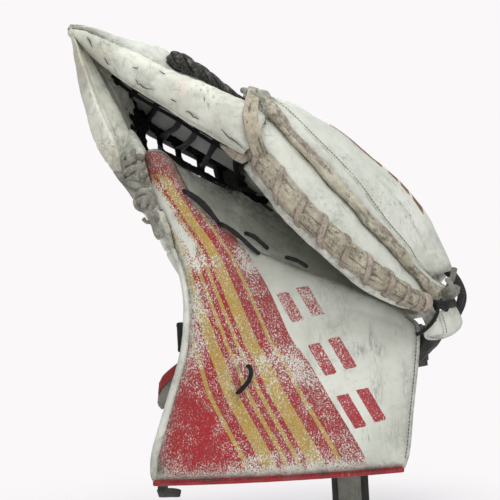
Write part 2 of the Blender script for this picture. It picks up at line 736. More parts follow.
def printed_leather(name):
    """Coated leather with printed red and gold stripes, flaked off by use."""
    mat = Material(name, (0.87, 0.88, 0.835))
    mat.layer(mat.patches((0.40, 0.72), size=46, detail=4, rough=0.6),
              color=(0.76, 0.775, 0.725))
    stripe = mat.attribute("s")
    ragged = mat.jitter(0.035, size=1.4, detail=3, rough=0.7)
    ink = mat.stripes(mat.mul(mat.math("ADD", stripe, ragged), STRIPE_SCALE),
                      [(place * STRIPE_SCALE, color) for place, color in STRIPES])
    faded = mat.patches((0.4, 0.7), size=18, detail=4, rough=0.6, shift=(9, 8, 7))
    ink = mat.mix(mat.mul(faded, 0.18), ink, (0.45, 0.06, 0.09))
    printed = mat.math("GREATER_THAN", mat.math("ADD", stripe, mat.mul(ragged, 0.6)), 0.0)
    block_edge = mat.math("ADD", mat.attribute("blk"),
                          mat.jitter(1.6, size=1.2, detail=3, rough=0.7))
    block = mat.math("LESS_THAN", block_edge, 0.0)
    printed = mat.math("MAXIMUM", printed, block)
    ink = mat.mix(block, ink, (0.64, 0.10, 0.16))
    # flaking: small chips everywhere, large bare areas where the wear value is high
    score = mat.add(mat.noise(size=1.0, detail=4, rough=0.64, stretch=(1.0, 1.0, 0.8),
                              distort=0.25),
                    mat.jitter(0.30, size=13, detail=4, rough=0.6, shift=(31, 2, 14)),
                    mat.mul(mat.attribute("wear"), 0.34))
    bare = mat.remap(score, (0.592, 0.612))
    kept = mat.mul(printed, mat.math("SUBTRACT", 1.0, bare))
    mat.layer(kept, color=ink)
    mat.layer(mat.remap(score, (0.50, 0.61)), printed, 0.35, color=(0.88, 0.88, 0.84))
    # rubbed dirt and black marks
    mat.layer(mat.mul(mat.patches((0.50, 0.74), size=4.5, detail=6, rough=0.72),
                      mat.patches((0.44, 0.66), size=30, detail=3, rough=0.6,
                                  shift=(3, 70, 11))),
              0.38, color=(0.40, 0.40, 0.37))
    mat.layer(mat.mul(mat.patches((0.57, 0.70), size=2.2, detail=6, rough=0.74,
                                  stretch=(1, 1, 0.14), turn=(0, -0.42, 0)),
                      mat.patches((0.52, 0.63), size=24, detail=2, rough=0.5,
                                  shift=(80, 5, 60))),
              0.7, color=(0.17, 0.17, 0.16))
    mat.layer(mat.attribute("scuff"),
              mat.patches((0.42, 0.60), size=1.6, detail=5, rough=0.75,
                          stretch=(1, 1, 0.22), turn=(0, -0.3, 0)),
              0.75, color=(0.30, 0.30, 0.28))
    mat.layer(mat.soiling(),
              mat.patches((0.34, 0.62), size=6, detail=5, rough=0.7, shift=(5, 5, 5)),
              0.60, color=(0.34, 0.34, 0.30))
    mat.layer(mat.attribute("shade"), color=(0.33, 0.325, 0.285))
    lines = mat.cracks(width=0.02, size=13, warp=8.0, stretch=(1, 1, 0.55),
                       where=mat.patches((0.53, 0.65), size=26, detail=2, rough=0.5,
                                         shift=(61, 22, 90)))
    mat.layer(lines, 0.15, color=(0.28, 0.28, 0.25))
    height = mat.add(mat.mul(mat.voronoi(size=1.3, feature="F1", warp=0.5), 0.10),
                     mat.mul(mat.noise(size=0.6, detail=3, rough=0.6), 0.12),
                     mat.mul(kept, 0.16), mat.mul(lines, -0.6),
                     mat.mul(mat.noise(size=7, detail=4, rough=0.6, stretch=(1, 1, 0.5)),
                             0.8))
    roughness = mat.add(mat.patches((0.3, 0.7), to=(0.40, 0.56), size=14, detail=4,
                                    rough=0.6),
                        mat.mul(bare, 0.08))
    return mat.finish(roughness, height, strength=0.5, distance=0.0010, specular=0.42)


def worn_tan(name, base=(0.735, 0.705, 0.62), dark=(0.58, 0.55, 0.475), crack=0.85, pink=0.4):
    mat = Material(name, base)
    mat.layer(mat.patches((0.40, 0.72), size=17, detail=5, rough=0.65), color=dark)
    mat.layer(mat.patches((0.52, 0.70), size=9, detail=3, rough=0.6, shift=(3, 5, 77)),
              pink, color=(0.70, 0.62, 0.57))
    mat.layer(mat.patches((0.54, 0.74), size=3.0, detail=6, rough=0.72, shift=(31, 4, 7)),
              0.5, color=(0.36, 0.345, 0.31))
    # folds that run along the roll, and cracks
    lengthwise = mat.node("CombineXYZ")
    mat.put(lengthwise.inputs[0], mat.mul(mat.attribute("ul"), 0.10))
    mat.put(lengthwise.inputs[1], mat.mul(mat.attribute("vl"), 0.9))
    folds = mat.patches((0.56, 0.62), size=2.4, detail=4, rough=0.6,
                        vector=lengthwise.outputs[0], distort=0.6)
    lines = mat.cracks(width=0.045, size=5.0, warp=3.2,
                       where=mat.patches((0.46, 0.60), size=11, detail=2, rough=0.5,
                                         shift=(61, 22, 90)))
    mat.layer(mat.math("MAXIMUM", mat.mul(folds, 0.8), mat.mul(lines, 0.35)), crack,
              color=(0.24, 0.23, 0.205))
    # smudges, then dirt at the edges
    mat.layer(mat.patches((0.50, 0.60), size=1.5, detail=5, rough=0.75,
                          stretch=(1, 1, 0.5)),
              mat.patches((0.47, 0.60), size=10, detail=3, rough=0.6, shift=(8, 30, 61)),
              0.75, color=(0.20, 0.195, 0.17))
    mat.layer(mat.soiling(), 0.72, mat.patches((0.42, 0.64), size=4, detail=4, rough=0.7),
              color=(0.27, 0.255, 0.23))
    height = mat.add(mat.mul(mat.noise(size=0.8, detail=4, rough=0.65), 0.28),
                     mat.mul(lines, -0.25), mat.mul(folds, -0.35),
                     mat.mul(mat.noise(size=5, detail=4, rough=0.6), 1.0))
    return mat.finish(mat.patches((0.3, 0.7), to=(0.55, 0.78), size=7, detail=4, rough=0.6),
                      height, strength=0.6, distance=0.0010, specular=0.35)


def cord(name, base, light, pitch, rough, wear, specular=0.4):
    """Braided or twisted lace: slanted ridges that cross."""
    mat = Material(name, base)
    along, around = mat.attribute("ul"), mat.attribute("vl")
    turns = 6.2832 / pitch
    rising = mat.math("SINE", mat.mul(mat.add(along, around), turns))
    falling = mat.math("SINE", mat.mul(mat.math("SUBTRACT", along, around), turns))
    ridges = mat.remap(mat.math("MAXIMUM", rising, falling), (-0.5, 1.0))
    mat.layer(ridges, 0.55, color=light)
    mat.layer(mat.patches((0.50, 0.72), size=5, detail=5, rough=0.7), wear,
              color=tuple(min(1, x * 2.2 + 0.03) for x in light))
    height = mat.add(mat.mul(ridges, 0.6),
                     mat.mul(mat.noise(size=0.5, detail=3, rough=0.6), 0.25))
    roughness = mat.patches((0.3, 0.7), to=(rough - 0.08, rough + 0.14), size=4, detail=3,
                            rough=0.6)
    return mat.finish(roughness, height, strength=0.7, distance=0.0006, specular=specular)


def weave(name, base=(0.05, 0.05, 0.052), light=(0.13, 0.13, 0.13), pitch_along=1.7,
          pitch_across=1.1, rough=0.7, dust=0.35, dust_color=(0.42, 0.42, 0.39),
          strength=0.7):
    """Plain weave from two crossing sets of threads."""
    mat = Material(name, base)
    along, across = mat.attribute("ul"), mat.attribute("vl")
    warp = mat.math("SINE", mat.mul(along, 6.2832 / pitch_along))
    weft = mat.math("SINE", mat.mul(across, 6.2832 / pitch_across))
    threads = mat.remap(mat.mul(warp, weft), (-1.0, 1.0))
    ribs = mat.remap(mat.math("ABSOLUTE", warp), (0.0, 1.0))
    mat.layer(threads, 0.8, color=light)
    mat.layer(mat.patches((0.4, 0.7), size=0.5, detail=2, rough=0.5), 0.25, color=light)
    mat.layer(mat.patches((0.50, 0.74), size=11, detail=6, rough=0.7), dust,
              color=dust_color)
    mat.layer(mat.soiling(), 0.18, color=dust_color)
    height = mat.add(mat.mul(threads, 0.6), mat.mul(ribs, 0.3),
                     mat.mul(mat.noise(size=0.4, detail=2, rough=0.5), 0.25))
    roughness = mat.patches((0.3, 0.7), to=(rough - 0.05, min(1.0, rough + 0.15)), size=9,
                            detail=3, rough=0.6)
    return mat.finish(roughness, height, strength=strength, distance=0.0006, specular=0.3,
                      sheen=0.25)


def foam(name):
    mat = Material(name, (0.19, 0.19, 0.195))
    cells = mat.voronoi(size=0.9, feature="F1")
    mat.layer(mat.remap(cells, (0.2, 0.8)), color=(0.34, 0.34, 0.35))
    mat.layer(mat.patches((0.45, 0.7), size=12, detail=5, rough=0.7), 0.5,
              color=(0.45, 0.44, 0.41))
    height = mat.add(mat.mul(cells, -0.5),
                     mat.mul(mat.noise(size=3, detail=3, rough=0.6), 0.4))
    return mat.finish(0.88, height, strength=0.6, distance=0.0006, specular=0.2)


def hook_tape(name):
    mat = Material(name, (0.02, 0.02, 0.02))
    hooks = mat.voronoi(size=0.95, feature="F1", random=0.35)
    mat.layer(mat.remap(hooks, (0.15, 0.6), (1.0, 0.0)), color=(0.17, 0.17, 0.165))
    mat.layer(mat.patches((0.54, 0.72), size=6, detail=5, rough=0.7), 0.5,
              color=(0.48, 0.47, 0.44))
    return mat.finish(0.75, mat.mul(hooks, -1.0), strength=0.9, distance=0.0010,
                      specular=0.35)


def steel(name):
    mat = Material(name, (0.60, 0.60, 0.61))
    brushed = mat.noise(size=0.5, detail=3, rough=0.6, stretch=(1, 1, 0.04))
    mat.layer(brushed, color=(0.42, 0.42, 0.43))
    mat.layer(mat.patches((0.55, 0.72), size=4, detail=5, rough=0.7), 0.6,
              color=(0.27, 0.24, 0.21))
    return mat.finish(mat.patches((0.3, 0.7), to=(0.26, 0.45), size=3, detail=4, rough=0.6),
                      brushed, strength=0.25, distance=0.0002, metallic=0.95)


def plastic(name):
    mat = Material(name, (0.045, 0.045, 0.048))
    pits = mat.noise(size=0.8, detail=4, rough=0.6)
    mat.layer(mat.patches((0.48, 0.72), size=6, detail=5, rough=0.7),
              color=(0.15, 0.15, 0.145))
    return mat.finish(mat.patches((0.3, 0.7), to=(0.42, 0.6), size=5, detail=3, rough=0.6),
                      pits, strength=0.35, distance=0.0003, specular=0.45)


def fibre(name):
    mat = Material(name, (0.42, 0.42, 0.39))
    tone = mat.noise(size=1.0, detail=3, rough=0.6)
    mat.layer(tone, color=(0.20, 0.20, 0.185))
    return mat.finish(0.85, tone, strength=0.3, distance=0.0003, specular=0.2)


SHELL_LEATHER = dict(grime=0.55, scuff=0.8, crack=0.10, stain=0.18, base=(0.83, 0.84, 0.80),
                     dark=(0.72, 0.735, 0.685), streak_turn=(0, 0.2, 0))

MATERIALS = {
    "white": leather("white_leather", grime=0.55, scuff=0.62, crack=0.18),
    "rim": leather("rim_leather", grime=0.85, scuff=0.95, crack=0.20, stain=0.40,
                   streak_turn=(0, -0.6, 0), crack_size=11, wrinkle=0.9,
                   base=(0.865, 0.87, 0.82), dark=(0.70, 0.71, 0.66)),
    "thumb_rim": leather("thumb_rim_leather", grime=1.0, scuff=1.0, crack=0.24, stain=0.5,
                         streak_turn=(0, 1.1, 0), crack_size=10, wrinkle=0.9,
                         base=(0.84, 0.845, 0.79), dark=(0.62, 0.625, 0.57)),
    "shell": leather("shell_leather", **SHELL_LEATHER),
    "banded_shell": leather("shell_leather_banded", band=True, **SHELL_LEATHER),
    "palm": leather("palm_leather", base=(0.875, 0.885, 0.84), dark=(0.79, 0.80, 0.75),
                    grime=0.35, scuff=0.7, gloss=0.62, stain=0.2,
                    streak_turn=(0, -0.9, 0)),
    "board": printed_leather("printed_leather"),
    "red": leather("red_binding", base=(0.63, 0.09, 0.14), dark=(0.45, 0.05, 0.09),
                   stain=0.1, gloss=0.5, scuff_color=(0.75, 0.62, 0.60)),
    "red_strap": leather("red_strap", base=(0.66, 0.08, 0.13), dark=(0.50, 0.05, 0.09),
                         grime=0.45, scuff=0.5, stain=0.05),
    "grey_flap": leather("grey_flap", base=(0.60, 0.60, 0.555), dark=(0.45, 0.45, 0.41),
                         grime=0.8, scuff=0.7, crack=0.4),
    "tan": worn_tan("tan_roll"),
    "strip": worn_tan("tan_strip", base=(0.79, 0.765, 0.69), dark=(0.66, 0.635, 0.56),
                      crack=0.5, pink=0.2),
    "rawhide": worn_tan("rawhide", base=(0.70, 0.65, 0.595), dark=(0.56, 0.51, 0.46),
                        crack=0.35, pink=0.3),
    "tie": worn_tan("tie_strap", base=(0.62, 0.615, 0.57), dark=(0.36, 0.355, 0.325),
                    crack=0.75, pink=0.08),
    "old_lace": cord("worn_lace", base=(0.09, 0.089, 0.083), light=(0.30, 0.295, 0.275),
                     pitch=3.4, rough=0.75, wear=0.42),
    "lace": cord("black_lace", base=(0.03, 0.03, 0.03), light=(0.11, 0.11, 0.105),
                 pitch=1.9, rough=0.52, wear=0.3, specular=0.3),
    "net": cord("net_lace", base=(0.009, 0.009, 0.009), light=(0.030, 0.030, 0.030),
                pitch=2.2, rough=0.6, wear=0.08, specular=0.18),
    "lining": weave("lining", base=(0.23, 0.235, 0.23), light=(0.37, 0.375, 0.365),
                    pitch_along=1.5, pitch_across=1.5, rough=0.75,
                    dust_color=(0.56, 0.56, 0.53)),
    "mesh": weave("pocket_lining", base=(0.42, 0.425, 0.415), light=(0.56, 0.565, 0.55),
                  pitch_along=1.4, pitch_across=1.4, dust=0.5,
                  dust_color=(0.62, 0.62, 0.59)),
    "pale_mesh": weave("pale_pocket_mesh", base=(0.30, 0.30, 0.29),
                       light=(0.45, 0.45, 0.43), pitch_along=1.6, pitch_across=1.6,
                       rough=0.75, dust=0.3, dust_color=(0.45, 0.45, 0.42)),
    "dark_mesh": weave("pocket_end_lining", base=(0.10, 0.10, 0.10),
                       light=(0.19, 0.19, 0.185), pitch_along=1.4, pitch_across=1.4,
                       rough=0.75, dust=0.4, dust_color=(0.34, 0.34, 0.32)),
    "webbing": weave("webbing", pitch_along=2.1, pitch_across=1.2, dust=0.25),
    "elastic": weave("elastic", base=(0.03, 0.03, 0.03), light=(0.09, 0.09, 0.09),
                     pitch_along=1.3, pitch_across=0.9, dust=0.12, strength=0.6),
    "thread": cord("thread", base=(0.40, 0.39, 0.36), light=(0.66, 0.65, 0.61), pitch=0.8,
                   rough=0.75, wear=0.3),
    "dark_thread": cord("dark_thread", base=(0.16, 0.155, 0.14), light=(0.34, 0.33, 0.31),
                        pitch=0.8, rough=0.75, wear=0.3),
    "foam": foam("foam"),
    "hook": hook_tape("hook_tape"),
    "steel": steel("steel"),
    "plastic": plastic("anchor_plastic"),
    "fibre": fibre("fibres"),
}

# ------------------------------------------------------------ cuff board
# The cuff's face bends round an upright axis at x = 0, y = BOARD_RADIUS.
BOARD_RADIUS = 364.0
BOARD_FOOT = 4.4
# outline of the board: (x, z)
BOARD_LEFT = [
    (-102.9, 7), (-101, 22), (-96.6, 36.6), (-89.9, 55.5), (-82.9, 74.7), (-76.2, 93.4),
    (-71, 112.3), (-68.7, 131.1), (-68, 150.1), (-70.6, 169.3), (-75.8, 188.7), (-81.2, 209),
    (-86.2, 229), (-90.2, 247), (-92.6, 260)]
BOARD_UPPER = [
    (-70.4, 254.9), (-62.6, 237), (-52.3, 222.9), (-37.3, 207.1), (-20, 191.9), (-4.8, 181.6),
    (14.4, 172.6), (31.4, 165), (53.1, 155.2), (72.5, 146.3), (96, 134.6), (112.8, 124.7)]
BOARD_RIGHT = [
    (103.6, 7.5), (106, 14), (108.4, 27), (110.9, 45), (114, 64), (117, 83), (119.6, 103),
    (120.6, 114.5)]
# left edge of the print (x, z), and half-width of the print's stripes (z, width)
PRINT_EDGE = [
    (-76.7, 264.1), (-63.5, 234.7), (-52.4, 221.4), (-36.6, 205.4), (-26.1, 195.4),
    (-14.3, 181.3), (-5, 163.4), (2.7, 146.5), (10.9, 124.7), (16.5, 111), (28.1, 93.7),
    (43.1, 64.4), (59, 34.8), (67.6, 17.6), (73.7, -1.5)]
PRINT_WIDTH = np.array([
    (0, 39.4), (31.5, 39), (73.4, 37.8), (93.7, 35.4), (117.5, 31.3), (139, 31.5), (158, 30),
    (175, 28), (193, 23.3), (214.6, 14.6), (225, 9.6), (236, 8), (245, 9.4), (254, 11.9)])
# shallow creases: x, z of both ends, width, depth
BOARD_CREASES = [(-60, 132, 24, 150, 2.6, 0.75), (-58, 158, -10, 176, 2.2, 0.6),
                 (30, 140, 104, 118, 3.0, 0.5), (-52, 96, 8, 78, 3.4, 0.45)]
# dents by the curved lace: x, z, width, depth
BOARD_DENTS = [(-31.5, 89.5, 3.2, 1.6), (-33.5, 72.0, 3.2, 1.6), (-23, 83, 7, 0.6)]
# printed blocks left of the stripes: centre x, z and half-length
PRINT_BLOCKS = [(16.3, 137, 13), (32.4, 140.8, 13), (39.3, 94.6, 14), (55.3, 98.4, 14),
                (60, 52.1, 15), (76.1, 55.8, 15)]
BLOCK_ALONG = np.array([0.458, -0.889])
BLOCK_ACROSS = np.array([-0.889, -0.458])
BLOCK_HALF_WIDTH = 4.7
# scuffs: centre x, z, width in x, in z, strength
BOARD_SCUFFS = [
    (68.2, 99.9, 6.3, 4.7, 0.90), (79.2, 108.6, 3.1, 11.0, 0.75), (83.5, 98.8, 3.1, 7.9, 0.60),
    (81.0, 68.9, 4.7, 15.7, 0.80), (104.0, 73.5, 3.1, 14.2, 0.80), (47.1, 121.0, 7.9, 9.4, 0.35),
    (53.9, 29.7, 7.9, 17.3, 0.35), (30.0, 98.4, 2.4, 18.9, 0.45), (32.3, 69.0, 2.4, 11.0, 0.40),
    (94.4, 34.4, 7.9, 14.2, 0.45), (56.1, 140.2, 7.1, 6.3, 0.40), (87.5, 98.6, 5.5, 7.1, 0.50),
    (41.9, 141.0, 5.5, 9.4, 0.35)]
# dirt spots: x, z, radius, strength
BOARD_DIRT = [
    (-26.7, 90.2, 3.9, 1.0), (-30.3, 70.7, 3.9, 1.0), (-35.4, 86.2, 3.1, 0.8),
    (-87.1, 16.2, 5.5, 0.9), (-94.2, 4.4, 4.7, 0.9), (-52.1, 184.2, 3.9, 0.9),
    (-51.8, 146.3, 3.1, 0.7), (-40.0, 88.8, 3.1, 0.7), (-24.3, 72.2, 3.1, 0.8),
    (-58.9, 203.6, 3.1, 0.6), (114.0, 119.8, 3.1, 0.5), (-69.5, 214.5, 3.9, 0.7),
    (-87.8, 259.3, 4.7, 0.7), (-78.1, 245.9, 4.7, 0.6)]


def on_board(x, z, offset=0.0, radius=BOARD_RADIUS):
    """Points on the cuff's bend. offset moves them back."""
    x = np.asarray(x, float)
    y = BOARD_RADIUS - np.sqrt(radius ** 2 - x * x) + offset
    return np.stack(np.broadcast_arrays(x, y, z), -1)


def smooth_interp(wanted, places, values, width):
    """Interpolated values, averaged over a window so that stripes keep no corners."""
    grid = np.arange(-40.0, 320.0, 0.5)
    curve = np.interp(grid, places, values)
    for outside, end, neighbour in ((grid < places[0], 0, 1), (grid > places[-1], -1, -2)):
        slope = (values[neighbour] - values[end]) / (places[neighbour] - places[end])
        curve[outside] = values[end] + slope * (grid[outside] - places[end])
    window = np.hanning(int(width * 4) | 1)
    padded = np.pad(curve, len(window) // 2, mode="edge")
    return np.interp(wanted, grid, np.convolve(padded, window / window.sum(), "valid"))


def board_left_side(rows):
    inset = [np.interp(z, [0, 60, 150, 190, 204, 216, 230, 300],
                       [6.6, 5.8, 5.4, 4.8, 3.4, 1.4, 0.6, 0.5])
             for _, z in BOARD_LEFT + [(-93.2, 264.4)]]
    outline = BOARD_LEFT + [(-93.2, 264.4)]
    curve = spline([(x + move, z) for (x, z), move in zip(outline, inset)], 400)
    z = np.r_[BOARD_FOOT, np.linspace(6.0, 263.6, rows - 1)]
    return np.column_stack([np.interp(z, curve[:, 1], curve[:, 0]), z])


def board_right_side(rows):
    """Right edge, rounded corner and upper edge, out to the thumb tip."""
    lower = spline(np.vstack([[102.4, BOARD_FOOT], spline(BOARD_RIGHT, 200)]), 80)
    upper = spline(BOARD_UPPER[::-1], 200)
    corner = spline([lower[-8], (120.2, 112.0), (119.4, 117.2), (115.0, 121.6), upper[10]], 20)
    edge = np.vstack([lower[:-9], corner, upper[12:], [(-74.0, 258.8)], [(-80.4, 264.6)]])
    distance = lengths(edge)
    step = profile(rows, [0, 0.40, 0.92, 1.0], [0, 121.0 / distance[-1], 0.965, 1.0])
    edge = sample(edge, distance, step * distance[-1])
    edge[:, 0] -= profile(rows, [0, 0.1, 0.3, 0.45, 0.9, 1], [0.5, 0.4, 0.2, 1.2, 1.4, 0.6])
    return edge


def board_relief(x, z, pair, flat, side, foot, top):
    inset = np.minimum(np.minimum(side, foot), top)
    rounding = 3.4 * np.exp(-inset / 2.6)
    puff = -1.5 * (1 - np.exp(-inset / 16.0))
    uneven = (0.9 * fractal(flat, 58, 2, 4)
              + 0.35 * fractal(flat, 17, 2, 9) * (1 - np.exp(-inset / 9)))
    dips = 0
    for x0, z0, x1, z1, width, depth in BOARD_CREASES:
        line = np.array([(x0, z0), ((x0 + x1) / 2 + 2, (z0 + z1) / 2 + 3), (x1, z1)])
        dips = dips + depth * bump(line_distance(pair, line), 0, width)
    for spot_x, spot_z, width, depth in BOARD_DENTS:
        dips = dips + depth * np.exp(-((x - spot_x) ** 2 + (z - spot_z) ** 2) / width ** 2)
    seam = 0.55 * bump(side, 4.4, 0.8) * (z < 112) * (x > 0)
    return -(rounding + puff + uneven * 0.7 + dips + seam)


def board_print(x, z, pair, flat, tip):
    """Stripe value s, and block value, which is below 0 inside a printed block."""
    edge = spline(PRINT_EDGE, 600)[::-1]
    edge_x = smooth_interp(z, edge[:, 1], edge[:, 0], 7.0)
    width = smooth_interp(z, PRINT_WIDTH[:, 0], PRINT_WIDTH[:, 1], 14.0)
    stripe = 1 + (edge_x - x - width) / np.maximum(width, 24.0)
    # the tip breaks up into plain red
    stripe = np.where((stripe > 0) & (tip > 0.45 + 0.4 * noise(flat, 3.0, 12)), 0.26, stripe)
    block = np.full(x.shape, 9.0)
    for centre_x, centre_z, half_length in PRINT_BLOCKS:
        offset = pair - [centre_x, centre_z]
        along, across = offset @ BLOCK_ALONG, offset @ BLOCK_ACROSS
        block = np.minimum(block, np.maximum(np.abs(along + 0.35 * across) - half_length,
                                             np.abs(across) - BLOCK_HALF_WIDTH))
    return stripe, block


def board_wear(x, z, stripe, block, side, foot, left_x, tip):
    wear = -0.03 + 0.34 * np.exp(-side / 7.0) * np.interp(
        z, [0, 215, 235, 260], [1, 1, 0.3, 0.1]) * (x < 60) * (x - left_x < 40)
    wear = wear + (0.75 * bump(stripe, 1.60, 0.20) * clamp((z - 165) / 30)
                   * clamp((248 - z) / 12))
    wear = wear + 0.40 * bump(stripe, 0.2, 0.26) * bump(z, 172, 12)
    wear = wear + 0.32 * bump(stripe, 0.22, 0.3) * bump(z, 88, 20)
    wear = wear + 0.85 * np.exp(-foot / 8.5) + 0.05 * tip
    wear = wear + 0.10 * bump(z, 177, 9) + 0.22 * bump(z, 92, 20) * bump(stripe, 1.0, 0.9)
    wear = wear + 0.25 * np.exp(-((x + 57) ** 2 / 60 + (z - 140) ** 2 / 700))
    wear = wear - 0.16 * clamp((stripe - 2.5) / 0.4) * (z < 112)
    return wear + 0.24 * (block < 1) * (stripe < 0) * clamp((z - 85) / 50)


def cuff_board():
    rows, columns = 190, 130
    left, right = board_left_side(rows), board_right_side(rows)
    v = np.linspace(0, 1, columns)
    v = (v - 0.035 * np.sin(2 * np.pi * v))[None, :, None]
    pair = left[:, None] * (1 - v) + right[:, None] * v
    x, z = pair[..., 0], pair[..., 1]
    flat = np.dstack([x, z, z * 0])
    # distances from the sides, the foot and the upper edge
    side = np.minimum(np.linalg.norm(pair - left[:, None], axis=2),
                      np.linalg.norm(pair - right[:, None], axis=2))
    foot = z - BOARD_FOOT
    top = line_distance(pair, spline(BOARD_UPPER, 120))
    tip = clamp((z - 243.0) / 11.0)
    stripe, block = board_print(x, z, pair, flat, tip)
    scuff = sum(strength * np.exp(-((x - spot_x) / wide) ** 2 - ((z - spot_z) / high) ** 2)
                for spot_x, spot_z, wide, high, strength in BOARD_SCUFFS)
    dirt = clamp(0.5 * np.exp(-foot / 6) + 0.5 * np.exp(-top / 5) * (z > 140))
    for spot_x, spot_z, radius, strength in BOARD_DIRT:
        away = (x - spot_x) ** 2 + (z - spot_z) ** 2
        dirt = np.maximum(dirt, strength * np.exp(-away / radius ** 2))
    shade = clamp(0.30 * tip + 0.68 * np.exp(-top / 31.0) * clamp((x + 42) / 30)
                  + 0.55 * np.exp(-top / 5.0) * clamp((-30 - x) / 12)
                  + 0.6 * np.exp(-((x + 94.5) ** 2 / 22 + (z - 12.5) ** 2 / 26)), 0, 0.66)
    shape = panel(on_board(x, z), 13.0, FRONT,
                  relief=board_relief(x, z, pair, flat, side, foot, top),
                  edge_steps=9, bulge=0.42, s=stripe, blk=block,
                  wear=board_wear(x, z, stripe, block, side, foot, left[:, None, 0], tip),
                  scuff=scuff, dirt=dirt, shade=shade)
    add("cuff_board_leather", shape, "board", "cuff", "cuff_board")
    # sewn row inside the right edge
    row = on_board(right[4:78, 0] - 3.6, right[4:78, 1], -1.3)
    add("cuff_edge_stitches", stitches(row, 3.1, 2.1, 0.40), "dark_thread", "cuff")


def lower_edge():
    path = on_board(np.linspace(-97.0, 97.0, 90), 2.45, 6.9)
    shape = sweep(path, 2.4 + 0.08 * noise(path, 9, 5), 9.0 + 0.25 * noise(path, 14, 3),
                  up=(0, 0, 1), segments=40, power=3.4, cap_length=2.0,
                  relief=grain(0.10, 4.0, 8))
    shape.values["edge"] = 0.5 * np.exp(-shape.points[:, 2] / 1.2)
    add("lower_edge_binding", shape, "red", "cuff", "lower_binding")
    row = on_board(np.linspace(-95, 95, 200), 4.1, -2.3)
    add("lower_edge_stitches", stitches(row, 3.3, 2.2, 0.36), "dark_thread", "cuff")


def outer_rolled_edge():
    """White roll from the lower left corner up towards the thumb tip."""
    left = spline(BOARD_LEFT, 140, 0.0, 0.775)
    inset = np.interp(left[:, 1], [0, 40, 120, 170, 205], [3.6, 3.3, 2.9, 2.4, 1.6])
    places = on_board(left[:, 0] + inset, left[:, 1], 4.6)
    path = spline([on_board(-98.2, 5.6, 6.0), *places[3::9]], 260)
    radius = profile(260, [0, 0.05, 0.12, 0.5, 0.82, 0.92, 1],
                     [3.0, 3.4, 3.6, 3.1, 2.5, 1.9, 1.1])
    radius = radius + 0.15 * noise(path, 11, 21) + 0.12 * noise(path, 4, 22)
    shape = sweep(path, radius, radius * 1.05, up=(-1, 0, 0), segments=28,
                  relief=lambda pts, along, angle: (-0.45 * bump(angle, 4.05, 0.16)
                                                    - 0.10 * np.abs(noise(pts, 3.0, 6))))
    z = shape.points[:, 2]
    shape.soil(0.9 * bump(z, 20, 7) + 0.9 * bump(z, 6, 5)
               + 0.5 * (noise(shape.points, 15, 3) > 0.25))
    # stands in for both pipings
    add("outer_rolled_edge", shape, "white", "cuff")
    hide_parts("outer_piping", "thumb_tip_piping")


def wrist_grid(rows, columns, inset, radius):
    """Outline shared by the foam and the lining behind the board."""
    left = spline([(-80, 9), (-76, 40), (-62, 80), (-50, 110), (-40, 138)], rows)[:, None]
    right = spline([(91, 9), (97.6, 60), (101, 98), (80, 116), (40, 127)], rows)[:, None]
    v = np.linspace(0, 1, columns)[None, :, None]
    pair = left * (1 - v) + right * v
    centre = pair.mean((0, 1))
    pair = centre + (pair - centre) * (1 - inset / 70.0)
    return on_board(pair[..., 0], pair[..., 1], radius=radius)


def wrist_padding():
    face = wrist_grid(70, 90, inset=1.0, radius=349.6)
    shape = panel(face, 8.2, FRONT, relief=np.full(face.shape[:2], -0.1), edge_steps=6,
                  relief_inner=0.5 * fractal(face, 20, 2, 3), bulge=0.5)
    add("wrist_foam_pad", shape, "foam", "cuff", "wrist_foam")

    row_heights, seam_x, slope = (38.0, 70.0, 102.0), 4.0, 0.02
    face = wrist_grid(110, 150, inset=2.5, radius=340.4)
    x, z = face[..., 0], face[..., 2]
    quilt = sum(1.9 * bump(z - slope * x, row, 1.7) for row in row_heights)
    quilt = quilt + 1.9 * bump(x, seam_x, 1.7)
    puff = 1.7 * (1 - clamp(quilt)) + 0.5 * fractal(face, 11, 3, 5)
    add("wrist_lining_quilted", panel(face, 2.4, FRONT, relief_inner=puff - 1.0, edge_steps=6),
        "lining", "cuff", "wrist_lining")

    thread_radius = 338.3
    x, z = np.linspace(-58, 88, 120), np.linspace(14, 126, 100)
    paths = [on_board(x, row + slope * x, -0.7, thread_radius) for row in row_heights]
    paths.append(np.column_stack([z * 0 + seam_x,
                                  z * 0 + BOARD_RADIUS - thread_radius - 0.7, z]))
    add("wrist_lining_stitches", join([stitches(p, 3.2, 2.1, 0.36, up=BACK) for p in paths]),
        "thread", "cuff")


# ------------------------------------------------------ palm, thumb side
# line where the palm and web turn back: (x, y, z) from the pocket tip to the heel
SPINE = [
    (-137.5, 72, 351.3), (-124.4, 82, 333.3), (-110, 90, 317.4), (-95.5, 97, 298.6),
    (-79.7, 103, 285.1), (-66, 107, 274.8), (-50.6, 110, 264.8), (-28.6, 112, 248.3),
    (-9.8, 111, 232.8), (30.9, 107, 203.2), (63, 98, 178.5), (90.6, 88, 156), (117.7, 76, 136.4),
    (140.9, 66, 123.8)]
SPINE_FINGERS = 7  # index where the finger section begins
SPINE_BREAK = 8  # index where the break of the palm begins
# lower edge of the pocket opening: (x, y, z)
POCKET_LOW = [
    (-86.8, 30, 268.2), (-77.6, 38, 265.7), (-65.2, 56, 254.6), (-52.9, 69, 247),
    (-39.4, 80, 240.1), (-25.7, 90, 233.8), (-11.7, 98, 229.1)]
PALM_BLEND = ("cuff", "web", fold_point(0, -34, 100), fold_point(0, -2, 100))


